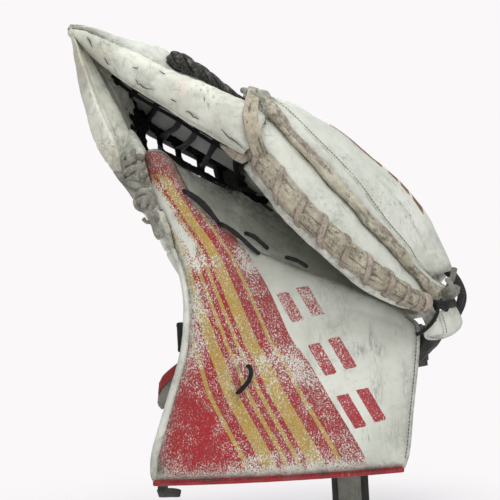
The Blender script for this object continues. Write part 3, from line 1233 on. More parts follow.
def thumb_palm():
    rows, columns = 96, 64
    upper = spline(BOARD_UPPER, rows, 0.03, 0.93)
    tucked = on_board(upper[:, 0] - 2.0, upper[:, 1] - 3.5, 11.0)
    front = on_board(upper[:, 0], upper[:, 1], 18.0)
    crease = spline(SPINE[SPINE_BREAK:], 40)[4::5]
    back = spline(POCKET_LOW[:-1] + [POCKET_LOW[-1] + FOLD_UP * 2.0 + BACK * 3.0]
                  + [point + FOLD_UP * np.interp(k, [0, 8], [-2.6, -4.2]) - BACK
                     for k, point in enumerate(crease)], rows, 0.0, 0.97)
    face = loft([tucked, front, front * 0.66 + back * 0.34 - FOLD_UP * 4.6,
                 front * 0.33 + back * 0.67 - FOLD_UP * 4.4, back], columns)
    t, v = grid_steps(rows, columns)
    wrinkles = (0.9 * fractal(face * [0.5, 1, 1], 16, 3, 12)
                + 0.5 * bump(t, 0.30 + 0.05 * v, 0.012)
                + 0.7 * bump(t, 0.215 - 0.06 * v, 0.014) - 0.9 * bump(t, 0.62 + 0.1 * v, 0.03))
    dirt = clamp(0.9 * bump(v, 1.0, 0.22) * (t < 0.6) + 0.55 * bump(v, 0.0, 0.08)
                 + 0.45 * (fractal(face, 24, 2, 7) > 0.1))
    shape = panel(face, 4.6, (0, -0.3, 1), relief=wrinkles * 0.8, edge_steps=6, dirt=dirt)
    add("palm_leather_thumb_side", shape, "palm", PALM_BLEND, "palm_thumb_side")
    pad = face[26:86:2, 12:60:2] - FOLD_UP * 5.6
    add("palm_felt_pad", panel(pad, 4.4, FOLD_UP), "foam", PALM_BLEND, "palm_pad")


def palm_break_roll():
    path = spline(SPINE[SPINE_BREAK:], 90, 0.04, 0.88)
    shape = sweep(path, 3.3 + 0.3 * noise(path, 8, 2), up=FOLD_UP, segments=22,
                  relief=grain(0.25, 3.5, 3))
    add("palm_break_roll", shape.soil(0.6), "palm", "web", "palm_break_strip")


# ------------------------------------------------------------- finger section
# All lines run from the pocket (upper left) to the heel (lower right) as (x, y, z).
FINGER_ROWS = 150
# middle of the rolled front edge
FINGER_EDGE = [
    (-5.1, 4, 260.6), (0.7, -2, 252.1), (12.2, -9, 235.4), (23.7, -13, 218.2),
    (37.6, -15, 202.6), (51.6, -16, 188.2), (63.5, -14, 176.2), (77.8, -10, 162.9),
    (90.3, -4, 153.5), (105.3, 4, 142.5), (118.4, 13, 135.2), (127.7, 20, 132.6)]
# outline of the shell as seen from the front
SHELL_OUTLINE = [
    (-0.8, 42, 307.1), (9, 50, 307.3), (30.2, 60, 302), (50.2, 66, 288.2), (68.7, 69, 276.2),
    (90, 70, 256.5), (111.2, 70, 237.1), (130.4, 69, 212), (142, 66, 187.3),
    (149.8, 62, 166.3), (152.7, 60, 154.6)]
# turns of the rawhide lace: where each passes the top and the bottom of the rolled edge
TURN_TOP = [
    (5.1, -2, 264.4), (18.5, -6, 247.8), (33.4, -14, 223.9), (48.8, -16, 208.2),
    (65.1, -15, 191.7), (79.9, -12, 175.3), (96, -6, 160.2), (109.2, 0, 149.2), (119.7, 6, 142.9)]
TURN_BOTTOM = [
    (-7, -2, 242.3), (10.6, -8, 219.1), (25.9, -14, 201.7), (41.9, -16, 182.9),
    (58.3, -14, 167.1), (73.2, -10, 149.8), (87.9, -4, 138.7), (100.5, 2, 131.5),
    (111.9, 8, 126.7)]
# left and right sides of the tan welt, and the sewn seam beyond it
WELT_LEFT = [
    (-8.5, 24, 303.4), (-0.3, 20, 295.2), (7.9, 18, 288.5), (13.6, 17, 283.2), (21.6, 15, 272.9),
    (29.4, 13, 262.5), (36.3, 12, 254.9), (44.2, 11, 244.6), (52.1, 11, 233.2),
    (58.9, 10, 225.5), (65.8, 11, 217.9), (73.8, 12, 207.7), (78.5, 14, 200.1),
    (87.8, 17, 189.9), (96.1, 20, 180.9), (104.4, 24, 170.6), (111.6, 28, 161.6),
    (119, 33, 153.7), (125.2, 39, 143.4), (131.5, 44, 135.4), (140.7, 50, 133.5)]
WELT_RIGHT = [
    (-8.2, 26, 308.4), (2.8, 23, 306.3), (8.7, 21, 303.3), (14.4, 18, 296.7), (20, 16, 287.7),
    (25.5, 14, 277.5), (31.2, 13, 271), (39.2, 12, 261.9), (48.3, 11, 251.7), (58.5, 11, 238.9),
    (66.5, 12, 228.8), (74.6, 13, 219.8), (80.3, 14, 212.3), (88.4, 16, 202.1),
    (99.2, 20, 191.8), (105, 23, 184.1), (113.6, 28, 175.1), (118.5, 34, 164.9),
    (124.7, 39, 157), (133.6, 46, 149), (143.8, 51, 142.1), (152.8, 54, 140.3)]
SHELL_SEAM = [
    (12.5, 27, 303.6), (26.4, 25, 290.4), (37.9, 23, 277.4), (49.4, 22, 264.4),
    (60.9, 21, 251.5), (72.3, 21, 237.4), (81.6, 23, 224.7), (89.7, 26, 212.1),
    (101.4, 31, 195.5), (109.8, 35, 185.1), (117.1, 40, 174.9), (122.1, 46, 165.8),
    (132.9, 52, 154.2)]
SHELL_CREASE = [(94.6, 58, 236.7), (106.2, 58, 222.9), (116.8, 58, 207.5), (125.7, 58, 190.6),
                (131.4, 58, 175.5)]
SHELL_CHANNELS = (0.27, 0.48, 0.68)  # places along the shell of the grooves between fingers


def finger_fold():
    return spline(SPINE[SPINE_FINGERS:], FINGER_ROWS, 0.08, 0.95)


def finger_palm():
    """Tucks under the rolled edge, then runs back to the break."""
    edge = spline(FINGER_EDGE, FINGER_ROWS, 0.015, 0.985)
    fold = finger_fold()
    hang = profile(FINGER_ROWS, [0, 0.1, 0.75, 0.92, 1], [14.5, 14.5, 14.0, 9.5, 7.0])[:, None]
    face = loft([edge - FOLD_UP * (hang - 7.5) - BACK, edge - FOLD_UP * hang + BACK * 4.0,
                 edge - FOLD_UP * (hang - 1.5) + BACK * 13.0,
                 edge * 0.62 + fold * 0.38 - FOLD_UP * 3.0,
                 fold + FOLD_UP * 2.6 - BACK * 2.5], 70)
    _, v = grid_steps(FINGER_ROWS, 70)
    wrinkles = (0.8 * fractal(face * [0.6, 1, 1], 17, 3, 31)
                + 0.6 * fractal(face, 5.5, 2, 14) * bump(v, 0.15, 0.15))
    dirt = clamp(0.75 * bump(v, 0.04, 0.08) + 0.55 * bump(v, 1.0, 0.3)
                 + 0.4 * (fractal(face, 22, 2, 17) > 0.12))
    shape = panel(face, 4.4, -FOLD_UP, relief=wrinkles * 0.7, edge_steps=6, dirt=dirt)
    add("palm_leather_finger_side", shape, "palm", "fingers", "palm_finger_side")


def finger_rolled_edge():
    """Tan roll, pinched under each turn of lace. Returns what the winding needs."""
    roll = spline(FINGER_EDGE, 460, 0.0, 0.97)
    distance = lengths(roll)

    def nearest(point):
        away = (roll[:, 0] - point[0]) ** 2 + (roll[:, 2] - point[2]) ** 2
        return distance[away.argmin()]

    tops = np.array([nearest(point) for point in TURN_TOP])
    bottoms = np.array([nearest(point) for point in TURN_BOTTOM])
    middles = (tops + bottoms) / 2
    radius = np.interp(distance / distance[-1], [0, 0.04, 0.12, 0.3, 0.7, 0.88, 1.0],
                       [6.0, 8.6, 9.2, 9.7, 9.5, 8.4, 6.8])
    radius = radius - sum(0.9 * bump(distance, m, 3.2) for m in middles)
    radius = radius + 0.25 * noise(roll, 9, 5)

    def relief(pts, along, angle):
        return (0.30 * noise(np.dstack([along * 0.12, angle * 6.0, angle * 0]), 1.1, 3)
                + 0.28 * np.abs(noise(pts, 3.2, 11)) - 0.35 * bump(angle, 3.6, 0.12))

    shape = sweep(roll, radius, up=FOLD_UP, segments=56, relief=relief)
    along = shape.values["ul"]
    away = np.min(np.abs(along[:, None] - middles[None]), axis=1)
    shape.soil(bump(away, 0, 4.6) + 0.6 * (along > distance[-1] * 0.86) + 0.35)
    add("finger_rolled_edge", shape, "tan", "fingers", "finger_edge_roll")
    return roll, distance, radius, tops, bottoms


def finger_edge_winding(roll, distance, radius, tops, bottoms):
    """One rawhide lace wound round the roll, half a turn from each top to each bottom."""
    stations = [(tops[0] - 7.0, 170.0)]  # distance along the roll, angle in degrees
    angle = 90.0
    for top, bottom in zip(tops, bottoms):
        stations += [(top, angle), (bottom, angle - 180.0)]
        angle -= 360.0
    # extra close turns at the heel end
    for turn in range(2):
        start = bottoms[-1] + 8.0 * turn
        stations += [(start + 5.0, angle), (start + 8.0, angle - 180.0)]
        angle -= 360.0
    stations = np.array(stations)
    angles = np.linspace(stations[0, 1], stations[-1, 1], 1500)
    along = np.interp(-angles, -stations[:, 1], stations[:, 0])
    along = np.convolve(np.r_[[along[0]] * 12, along, [along[-1]] * 12], np.ones(25) / 25,
                        "valid")
    _, above, side = frames(roll, FOLD_UP)
    above = unit(sample(above, distance, along))
    side = unit(sample(side, distance, along))
    if side[0] @ FRONT < 0:
        side = -side
    turn = np.radians(angles)[:, None]
    out = above * np.sin(turn) + side * np.cos(turn)
    height = np.interp(along, distance, radius) + (0.75 + 0.25 * np.sin(turn[:, 0] * 2 + 1))
    path = sample(roll, distance, along) + out * height[:, None]
    shape = sweep(path, 1.35 + 0.15 * noise(path, 7, 31), 2.45 + 0.35 * noise(path, 9, 77),
                  up=out, segments=16, power=2.6,
                  relief=lambda pts, along, angle: (0.14 * noise(pts, 1.9, 9)
                                                    - 0.12 * bump(angle, 0.0, 0.3)))
    add("finger_edge_winding", shape.smudge(0.45, 0.6, 8, 4), "rawhide", "fingers",
        "finger_edge_lace")


def finger_end_panel():
    """Wall between the rolled edge and the welt."""
    edge = spline(FINGER_EDGE, FINGER_ROWS, 0.0, 0.99)
    welt = spline(WELT_LEFT, FINGER_ROWS)
    across = unit(welt - edge)
    width = np.linalg.norm(welt - edge, axis=1, keepdims=True)
    forward = BACK * (0.085 * width)
    face = loft([edge + across * 6.0 + BACK * 3.0, edge + across * (width * 0.36) - forward,
                 edge + across * (width * 0.72) - forward, welt + BACK * 2.5], 56)
    t, v = grid_steps(FINGER_ROWS, 56)
    wrinkles = 0.9 * fractal(face, 26, 3, 41) + 0.35 * fractal(face, 7, 2, 42)
    wrinkles = (wrinkles
                - 0.9 * bump(v, 0.12 + 0.05 * np.sin(t * 9), 0.03) * (noise(face, 20, 6) > -0.2)
                - 1.0 * bump(v, 0.80 + 0.06 * np.sin(t * 7), 0.025) * bump(t, 0.35, 0.2))
    dirt = clamp(0.8 * bump(v, 0.0, 0.10) + 0.7 * bump(v, 1.0, 0.10))
    shape = panel(face, 4.6, FRONT, relief=wrinkles * 0.8, edge_steps=6, dirt=dirt)
    add("finger_end_panel", shape, "shell", "fingers", "finger_end_wall")


def welt():
    left, right = spline(WELT_LEFT, FINGER_ROWS * 2), spline(WELT_RIGHT, FINGER_ROWS * 2)
    middle = (left + right) / 2
    width = np.linalg.norm((right - left)[:, [0, 2]], axis=1)

    def relief(pts, along, angle):
        streaks = np.abs(noise(np.dstack([along * 0.14, angle * 5.0, angle * 0]), 1.0, 33))
        return (0.64 * streaks + 0.30 * noise(pts, 3.0, 12)
                - 0.75 * bump(angle, 1.0 + 0.25 * np.sin(along * 0.06), 0.10)
                - 0.5 * bump(angle, 5.5 + 0.2 * np.sin(along * 0.05), 0.09))

    shape = sweep(middle, 4.4 + 0.5 * noise(middle, 12, 8), width / 2 + 0.2, up=FRONT,
                  segments=44, power=2.5, relief=relief, cap_length=3.0)
    along = shape.values["ul"]
    shape.soil(0.25 + 0.7 * (noise(shape.points, 16, 4) > 0.1)
               + 0.5 * (along > along.max() * 0.86))
    add("welt_strip", shape, "strip", "fingers", "shell_welt")

    parts = []
    lift = (np.sin(np.linspace(0, np.pi, 60)) ** 0.6)[:, None]
    for start, end in ((0.10, 0.40), (0.52, 0.72), (0.78, 0.93)):
        right = spline(WELT_RIGHT, 60, start, end)
        across = unit(right - spline(WELT_LEFT, 60, start, end))
        path = right - across * (1.6 + 2.0 * (1 - lift)) - BACK * (2.4 + 1.5 * lift)
        parts.append(sweep(path, 1.2, 2.1, up=FRONT, segments=16, power=2.6,
                           relief=grain(0.15, 2, 9)))
    add("welt_rawhide", join(parts).soil(0.7), "rawhide", "fingers", "welt_lace")


def shell_face(columns):
    """Grid from the welt over the backs of the fingers, and where on it the seam and the
    outline lie, from 0 to 1 across."""
    welt_line, outline = spline(WELT_RIGHT, FINGER_ROWS), spline(SHELL_OUTLINE, FINGER_ROWS,
                                                                 0.03, 0.975)
    seam, fold = spline(SHELL_SEAM, FINGER_ROWS), finger_fold()
    outline_along, outline_height = fold_coordinates(outline)
    fold_along, fold_height = fold_coordinates(fold)
    height = outline_height - fold_height
    depth = 34.0 + 0.55 * height
    across = unit(seam - welt_line)
    lines = [welt_line - across * 3.0 + BACK * 3.5, welt_line + across * 2.0 + BACK, seam,
             (seam + outline) / 2 + FOLD_UP * 2.0 - BACK * 5.0, outline]
    for degrees in (24.0, 44.0, 60.0, 73.0):
        turn = math.radians(degrees)
        lines.append(fold_point(
            outline_along + (fold_along - outline_along) * (degrees / 90.0),
            fold_height + height * math.cos(turn), outline[:, 1] + depth * math.sin(turn)))
    steps = np.linalg.norm(np.diff(np.stack(lines, axis=1), axis=1), axis=2)
    run = np.cumsum(steps, axis=1)
    face = loft(lines, columns)
    smooth_rows(face, 3)
    return face, run[:, 1] / run[:, -1], run[:, 3] / run[:, -1]


def shell_gold(x, past_outline):
    """Gold bands by the outline, in one long run and three dashes, each from x to x."""
    run = 0
    for start, end in ((58.0, 100.0), (104.5, 112.5), (114.0, 121.0), (123.0, 131.5)):
        run = np.maximum(run, clamp((x - start) / 1.2 + 0.5) * clamp((end - x) / 1.2 + 0.5))
    return run * clamp(past_outline + 9.5) * clamp(6.5 - past_outline)


def finger_shell():
    rows, columns = FINGER_ROWS, 130
    face, seam_place, outline_place = shell_face(columns)
    t, v = grid_steps(rows, columns)
    width = lengths(face[rows // 2])[-1]
    past_seam = (v - seam_place[:, None]) * width
    past_outline = (v - outline_place[:, None]) * width
    rear = clamp((past_outline - 4) / 16)
    channels = clamp(sum(np.exp(-(np.abs(t - (place + 0.02 * np.sin(v * 5))) / 0.010) ** 1.5)
                         for place in SHELL_CHANNELS))
    crease = crease_distance(face, SHELL_CREASE, 60)
    relief = (-0.9 * bump(past_seam, 0, 1.1) + 0.6 * bump(past_seam, 3.0, 2.2)
              + 0.5 * bump(past_seam, -3.0, 2.2)
              - rear * 3.0 * channels + rear * 1.4 * (1 - channels)
              - 0.9 * bump(crease, 0, 1.7) * (past_outline < 5)
              + 0.5 * bump(crease, 5, 4) * (past_outline < 5)
              + 1.0 * fractal(face, 40, 2, 51) + 0.30 * fractal(face, 9, 2, 52))
    dirt = clamp(0.75 * bump(past_seam, 0, 1.6) * (noise(face, 8, 2) > -0.3)
                 + 0.6 * bump(v, 0.0, 0.03) + 0.35 * bump(crease, 0, 1.5)
                 + 0.4 * rear * channels + 0.5 * bump(v, 1.0, 0.05))
    shape = panel(face, 5.4, FOLD_UP, relief=relief, edge_steps=7, dirt=dirt,
                  gold=shell_gold(face[..., 0], past_outline))
    add("finger_shell_leather", shape, "banded_shell", "fingers", "finger_shell")

    # sewn rows beside the front seam and along both sides of each channel
    normals = upward_normals(face, rows // 2, 20)
    i = np.arange(4, rows - 6)
    place = clamp(seam_place[i] * (columns - 1), 0, columns - 2)
    j = place.astype(int)
    part = (place % 1)[:, None]
    seam = face[i, j] * (1 - part) + face[i, j + 1] * part - normals[i, j] * 0.55
    beyond = unit(face[i, np.minimum(columns - 1, j + 3)] - face[i, j])
    parts = [stitches(seam + beyond * 1.9 + normals[i, j] * 0.8, 2.6, 1.7, 0.32,
                      up=(0.45, -0.7, 0.55))]
    for place in SHELL_CHANNELS:
        row = int(place * (rows - 1))
        first = int(outline_place[row] * (columns - 1)) + 8
        for offset in (-2, 2):
            path = (face + normals * 0.6)[row + offset, first:columns - 6]
            parts.append(stitches(path, 3.0, 2.0, 0.36,
                                  up=normals[row, (first + columns) // 2]))
    add("shell_stitches", join(parts), "dark_thread", "fingers")

    inner = (face - normals * 6.8)[6:-6:2, 26:-4:2]
    t, v = grid_steps(*inner.shape[:2])
    quilt = (1.1 * (0.5 + 0.5 * np.cos(t * 18 * np.pi)) * (0.6 + 0.4 * np.cos(v * 14 * np.pi)))
    add("shell_inner_padding", panel(inner, 4.6, FOLD_UP, relief_inner=-quilt), "lining",
        "fingers", "shell_padding")


def finger_stalls():
    fold = spline(SPINE[SPINE_FINGERS:], 200, 0.10, 0.93)
    parts = []
    for k in range(4):
        along, height = fold_coordinates(fold[int((0.12 + 0.17 * k) * 199)])
        path = spline([fold_point(along - 4, height + 30.0 - k, 106.0),
                       fold_point(along - 2, height + 33.0 - k, 82.0),
                       fold_point(along, height + 36.0 - k, 56.0 - k)], 60)
        radii = profile(60, [0, 0.3, 0.7, 0.9, 1],
                        np.array([9.2, 9.2, 9.0, 8.2, 6.8]) * (1 - 0.03 * k))
        parts.append(sleeve(path, radii, 1.7, up=FOLD_UP, segments=36,
                            relief=lambda pts: 0.45 * fractal(pts, 9, 2, 3)))
    add("finger_stall_sleeves", join(parts), "lining", "fingers", "finger_stalls")


# -------------------------------------------------------- pocket rim and web
# thumb-side rim from the pocket tip down to the thumb: left line, inner line and crest
THUMB_RIM_LEFT = [
    (-150.9, 60, 370.5), (-149.5, 57, 366.4), (-147.8, 52, 358.1), (-146.1, 45, 346.3),
    (-142.3, 36, 322.4), (-138.5, 31, 304.4), (-134.8, 28, 286.7), (-129, 25, 271.2),
    (-123, 23, 260), (-116.9, 21, 251), (-112.3, 20, 244.3)]
THUMB_RIM_INNER = [
    (-145.2, 58, 366.7), (-138.6, 52, 356.6), (-133.8, 47, 347.6), (-126.9, 41, 332.8),
    (-120, 36, 316.5), (-113.1, 32, 303.7), (-107.9, 29, 292.7), (-103.6, 27, 281.1),
    (-102.5, 26, 270.5), (-106.1, 25, 262.6), (-106.5, 24, 253)]
THUMB_RIM_CREST = [
    (-147.8, 52, 367.7), (-144.2, 44, 359.2), (-141.3, 37, 348.5), (-136.2, 29, 332.1),
    (-131, 22, 314.3), (-125.8, 17, 298.4), (-120.4, 14, 285.1), (-115.7, 12, 272.8),
    (-112.2, 11, 263.8), (-111.4, 11, 255.8), (-109.6, 12, 247.8)]
THUMB_RIM_BLEND = ("cuff", "web", (-118, 22, 281), (-143, 45, 350))
# gusset between the rims: front, middle and back lines
GUSSET = [
    [(-147.5, 56, 366.5), (-137, 50, 353.8), (-129, 43, 339.6), (-121.4, 38, 322.4),
     (-113.9, 34, 307.1), (-108, 31, 293.6), (-104.4, 29, 282), (-103.3, 28, 272.3)],
    [(-147.6, 59, 367.3), (-137.2, 57, 354.6), (-129, 55, 342.5), (-120.6, 53, 328.7),
     (-112.9, 54, 314.4), (-106.9, 56, 301.1), (-102, 58, 287.9), (-100.1, 54, 273.6)],
    [(-146.3, 58, 368.4), (-134.2, 57, 356.1), (-124.1, 57, 345.7), (-115, 58, 334.6),
     (-107, 64, 323.2), (-102.4, 72, 311.3), (-98.7, 78, 294.9), (-96.2, 72, 274.4)]]
# finger-side rim from the pocket tip to the fingers: (x, y, z, radius)
FINGER_RIM = [
    (-149.1, 57, 370.4, 1.9675), (-144.6, 53, 368.1, 3.5415), (-139.6, 50, 364.7, 5.3516),
    (-127.6, 42, 355.1, 8.657), (-115.4, 34, 345.5, 10.7032), (-98.9, 25, 333.9, 12.7494),
    (-81.2, 17, 321.9, 13.8512), (-64.6, 12, 312.1, 15.4252), (-47.8, 8, 301.8, 17.314),
    (-31.3, 5, 291.7, 18.101), (-17.8, 3.5, 283.4, 19.0454), (-9, 3, 277, 18.5732),
    (-5.1, 4, 274.5, 17.314)]
FINGER_RIM_BLEND = ("web", "fingers", (-149, 55, 370), (-62, 20, 312))
# creases of the rim: line and strength
RIM_CREASES = [
    ([(-95.5, 10, 323.2), (-91.4, 6, 317.8), (-86.8, 4, 318.9), (-82.2, 0, 314.1)], 0.9),
    ([(-56.1, -8, 294.2), (-51.2, -9, 292.2), (-47.5, -8, 288.3)], 0.9),
    ([(-23.4, -4, 271), (-15.1, -2, 264.8), (-8.4, 0, 258.8)], 1.1),
    ([(-134.7, 40, 363.1), (-132.3, 38, 359.5), (-131, 38, 354.5)], 0.8),
    ([(-83.3, 3, 332.1), (-73.3, -3, 321.5), (-68.3, -6, 310.7)], 0.35),
    ([(-118.8, 28, 355.1), (-114.2, 22, 343), (-111.3, 22, 336.4)], 0.35)]
RIM_DIRTY_CREASES = 4
RIM_CRACKS = [
    [(-134.9, 40, 363.3), (-132.7, 40, 359.2), (-131.7, 40, 357.4), (-130.1, 40, 353.9)],
    [(-95.3, 8, 323.9), (-94.2, 8, 319.9), (-91.7, 8, 319.2), (-88.8, 4, 316.1),
     (-82.2, 2, 314.2)],
    [(-56.8, -8, 294.9), (-53.1, -8, 293.1), (-51.1, -8, 290.2), (-47.3, -8, 288.3)],
    [(-29.7, -6, 278.7), (-24.6, -6, 272.9), (-19.3, -5, 268.8), (-13.8, -3, 263.3)],
    [(-97.8, 12, 333.3), (-92.7, 10, 332.3)], [(-68.2, 0, 305.5), (-63.8, -3, 302.8)],
    [(-120.9, 26, 343.8), (-117.8, 24, 338.6), (-116.2, 24, 337.7)],
    [(-75.9, 10, 328.4), (-71.2, 8, 326)]]


def thumb_rim():
    """Flattened soft roll with an inner flap."""
    rows, section = 170, 60
    left, inner, crest = (spline(line, rows, 0.02, 1.0)
                          for line in (THUMB_RIM_LEFT, THUMB_RIM_INNER, THUMB_RIM_CREST))
    full = np.minimum(1.0, np.linalg.norm(inner - left, axis=1, keepdims=True) / 30.0)
    rings = loft([left, left * 0.9 + crest * 0.1 - BACK * 5.0 * full, crest,
                  left * 0.34 + inner * 0.66 - BACK * 4.5 * full, inner + BACK,
                  inner + BACK * 8.0 * full + (left - inner) * 0.10,
                  (inner + left) / 2 + BACK * 11.0 * full,
                  left + BACK * 6.5 * full + (inner - left) * 0.10], section, closed=True)
    u = np.linspace(0, 1, rows)[:, None]
    v = np.arange(section)[None] / section
    out = unit(rings - rings.mean(1, keepdims=True))
    relief = (0.7 * fractal(rings * [1, 1, 0.6], 16, 3, 61)
              + 0.315 * fractal(rings, 6, 2, 62))
    # long soft folds from the tip
    relief = relief - (1.5 * bump(v, 0.36 + 0.05 * np.sin(u * 7), 0.022)
                       * clamp((u - 0.06) * 6) * clamp((0.97 - u) * 8))
    relief = relief - 0.9 * bump(v, 0.27 + 0.07 * u, 0.015) * bump(u, 0.42, 0.16)
    # creases across the roll, and a pinch at its lower end
    relief = (relief - 1.2 * bump(u, 0.86 + 0.03 * np.sin(v * 20), 0.012)
              - 0.9 * bump(u, 0.73 + 0.02 * np.sin(v * 14), 0.009) * bump(v, 0.25, 0.2)
              - 0.7 * bump(u, 0.55 + 0.03 * np.sin(v * 17), 0.008) * bump(v, 0.2, 0.14)
              - 1.8 * bump(u, 1.0, 0.035))
    rings = rings + out * relief[..., None]
    dirt = clamp(0.65 * bump(u, 0.9, 0.09)
                 + 0.55 * bump(v, 0.47, 0.10) * (0.4 + 0.6 * (fractal(rings, 20, 2, 8) > 0))
                 + 0.5 * bump(v, 0.36, 0.03) + 0.4 * bump(u, 0, 0.05))
    points = np.vstack([rings.reshape(-1, 3), rings[0].mean(0) + [0, 0, 0.6],
                        rings[-1].mean(0)])
    shape = Shape(points, tube_faces(rows, section),
                  ul=np.r_[np.repeat(u[:, 0] * 170, section), 0, 170],
                  vl=np.r_[np.tile(np.arange(section) * 1.3, rows), 0, 0],
                  dirt=np.r_[dirt.ravel(), 1, 1], edge=np.zeros(len(points)))
    add("thumb_side_rim", shape, "thumb_rim", THUMB_RIM_BLEND, "thumb_rim")


def web_tip_gusset():
    """Folds back into the pocket between the two rims."""
    face = between(GUSSET, 120, 50)
    t, v = grid_steps(120, 50)
    relief = (0.8 * fractal(face, 14, 3, 64) - 1.0 * bump(v, 0.45 + 0.1 * np.sin(t * 6), 0.03)
              + 0.3 * fractal(face, 5, 2, 66))
    dirt = clamp(1.3 * clamp((v - 0.35) / 0.5) * clamp((t - 0.40) / 0.25)
                 + 0.5 * (fractal(face, 16, 2, 8) > 0.05) + 0.6 * bump(v, 1, 0.1))
    add("web_tip_gusset", panel(face, 2.6, (0.2, -1, 0.1), relief=relief * 0.8, dirt=dirt),
        "thumb_rim", THUMB_RIM_BLEND)


def finger_rim():
    """Big padded roll across the top of the pocket. Returns its points."""
    stations = spline(FINGER_RIM, 260)
    path, half = stations[:, :3], stations[:, 3]
    end = lengths(path)[-1]
    segments = 84

    def relief(pts, along, angle):
        raised = (0.9 * fractal(pts * [0.7, 1, 0.7], 24, 3, 71)
                  + 0.28 * fractal(pts, 6, 2, 72))
        # the panel is gathered along its upper crease and its lower seam
        raised = raised + (0.44 * np.sin(along * 0.55 + 2.5 * noise(pts, 22, 5))
                           * bump(angle, 0.55, 0.5))
        raised = raised - 1.0 * bump(angle, 0.10 + 0.10 * np.sin(along * 0.05), 0.10)
        raised = raised - 0.9 * bump(angle, 2.75, 0.06) * clamp(along / 30)
        for line, strength in RIM_CREASES:
            raised = raised - (0.8 * strength * bump(crease_distance(pts, line, 20), 0, 1.0)
                               * (pts[..., 1] < path[:, None, 1] + 2))
        raised = raised + 0.7 * bump(along, end, 14) * np.sin(angle * 9 + 1)
        return raised * clamp(along / 16.0, 0.15, 1)

    shape = sweep(path, half, half * 0.86, up=FOLD_UP, segments=segments, power=2.1,
                  relief=relief, cap_length=1.5)
    points = shape.points
    dirt = np.zeros(len(points))
    for line, _ in RIM_CREASES[:RIM_DIRTY_CREASES]:
        marks = 0.95 * bump(crease_distance(points, line, 20), 0, 0.9) * (points[:, 1] < 44)
        dirt = np.maximum(dirt, marks)
    angle = np.linspace(0, 2 * np.pi, segments, endpoint=False)
    angle = np.r_[np.tile(angle, (len(points) - 2) // segments), 0, 0]
    dirt = np.maximum(dirt, 0.45 * bump(angle, 0.12, 0.16))
    dirt = np.maximum(dirt, 0.55 * bump(angle, 2.75, 0.16))
    shape.soil(np.maximum(dirt, clamp(0.25 + 1.6 * fractal(points, 22, 3, 19), 0, 0.55)))
    shape.values["edge"] = np.zeros(len(points))
    add("finger_side_rim", shape, "rim", FINGER_RIM_BLEND, "finger_rim")
    return points


def rim_cracks(rim):
    """Thin cracks in the coat of the rim's front."""
    parts = []
    for i, line in enumerate(RIM_CRACKS):
        path = spline(line, 26)
        path[:, [0, 2]] += 0.45 * np.stack([noise(path, 1.7, 5 + i),
                                            noise(path, 1.7, 45 + i)], 1)
        depths = []
        for point in path:
            near = rim[(np.abs(rim[:, 0] - point[0]) < 1.8)
                       & (np.abs(rim[:, 2] - point[2]) < 1.8)]
            depths.append(near[:, 1].min() if len(near) else np.nan)
        # a crack that runs off the rim is left out
        if np.isnan(depths).any():
            continue
        path[:, 1] = np.convolve(np.pad(depths, 3, mode="edge"), np.ones(7) / 7, "valid") - 0.05
        parts.append(sweep(path, 0.30, 0.15 + 0.30 * np.sin(np.linspace(0.15, 3.0, 26)),
                           up=FRONT, segments=7, cap_rings=1))
    add("rim_coat_cracks", join(parts), "dark_thread", FINGER_RIM_BLEND)


def web_tip_cap():
    """Little cap where both rims and the web meet."""
    path = spline([(-148.6, 57, 366.4), (-149.0, 57.5, 370.2), (-148.4, 58, 373.2)], 14)
    half = np.array([1.9, 2.3, 2.6, 2.8, 2.9, 2.9, 2.8, 2.7, 2.5, 2.2, 1.9, 1.6, 1.3, 0.9])
    shape = sweep(path, half, 3.4, up=(1, 0, 0), segments=22,
                  relief=lambda pts, along, angle: 0.35 * fractal(pts, 3.5, 2, 5))
    add("web_tip_cap_leather", shape.smudge(0.5, 0.6, 3, 6), "thumb_rim", "web",
        "web_tip_cap")


# crest of the cover over the pocket: (x, y, z)
COVER_CREST = [
    (-150.2, 58, 373.5), (-143.3, 54, 373.8), (-133.2, 51, 372.3), (-121.3, 50, 368.6),
    (-110.6, 50, 363.8), (-96.7, 50, 359.2), (-81.5, 50, 355.1), (-69.8, 50, 349.6),
    (-57.1, 50, 336.3), (-41.3, 50, 326.4), (-25.7, 49, 314.8), (-8.3, 48, 304.8)]
COVER_SEAMS = (0.60, 0.80)  # places across the cover, 0 at the rim and 1 at the spine
COVER_BLEND = ("web", "fingers", (-149, 60, 370), (-75, 60, 320))
# dark laced edge between the cover and the rim: (x, y, z, radius)
COVER_LACING = [
    (-68.4, 36, 341.9, 4.3285), (-65.2, 34, 340.7, 6.7682), (-60.4, 32, 337.8, 7.5552),
    (-55.3, 31, 335, 6.6108), (-51, 30, 332.3, 5.9812), (-45.5, 29, 329, 5.509),
    (-40.8, 28, 325.9, 5.0368), (-35.4, 27, 321.4, 4.5646), (-30.8, 26, 317.5, 4.2498),
    (-25.4, 25, 313.1, 3.935), (-20.8, 24, 309.1, 3.4628), (-15.4, 23, 305.1, 2.8332),
    (-10, 22, 301.5, 2.2036)]


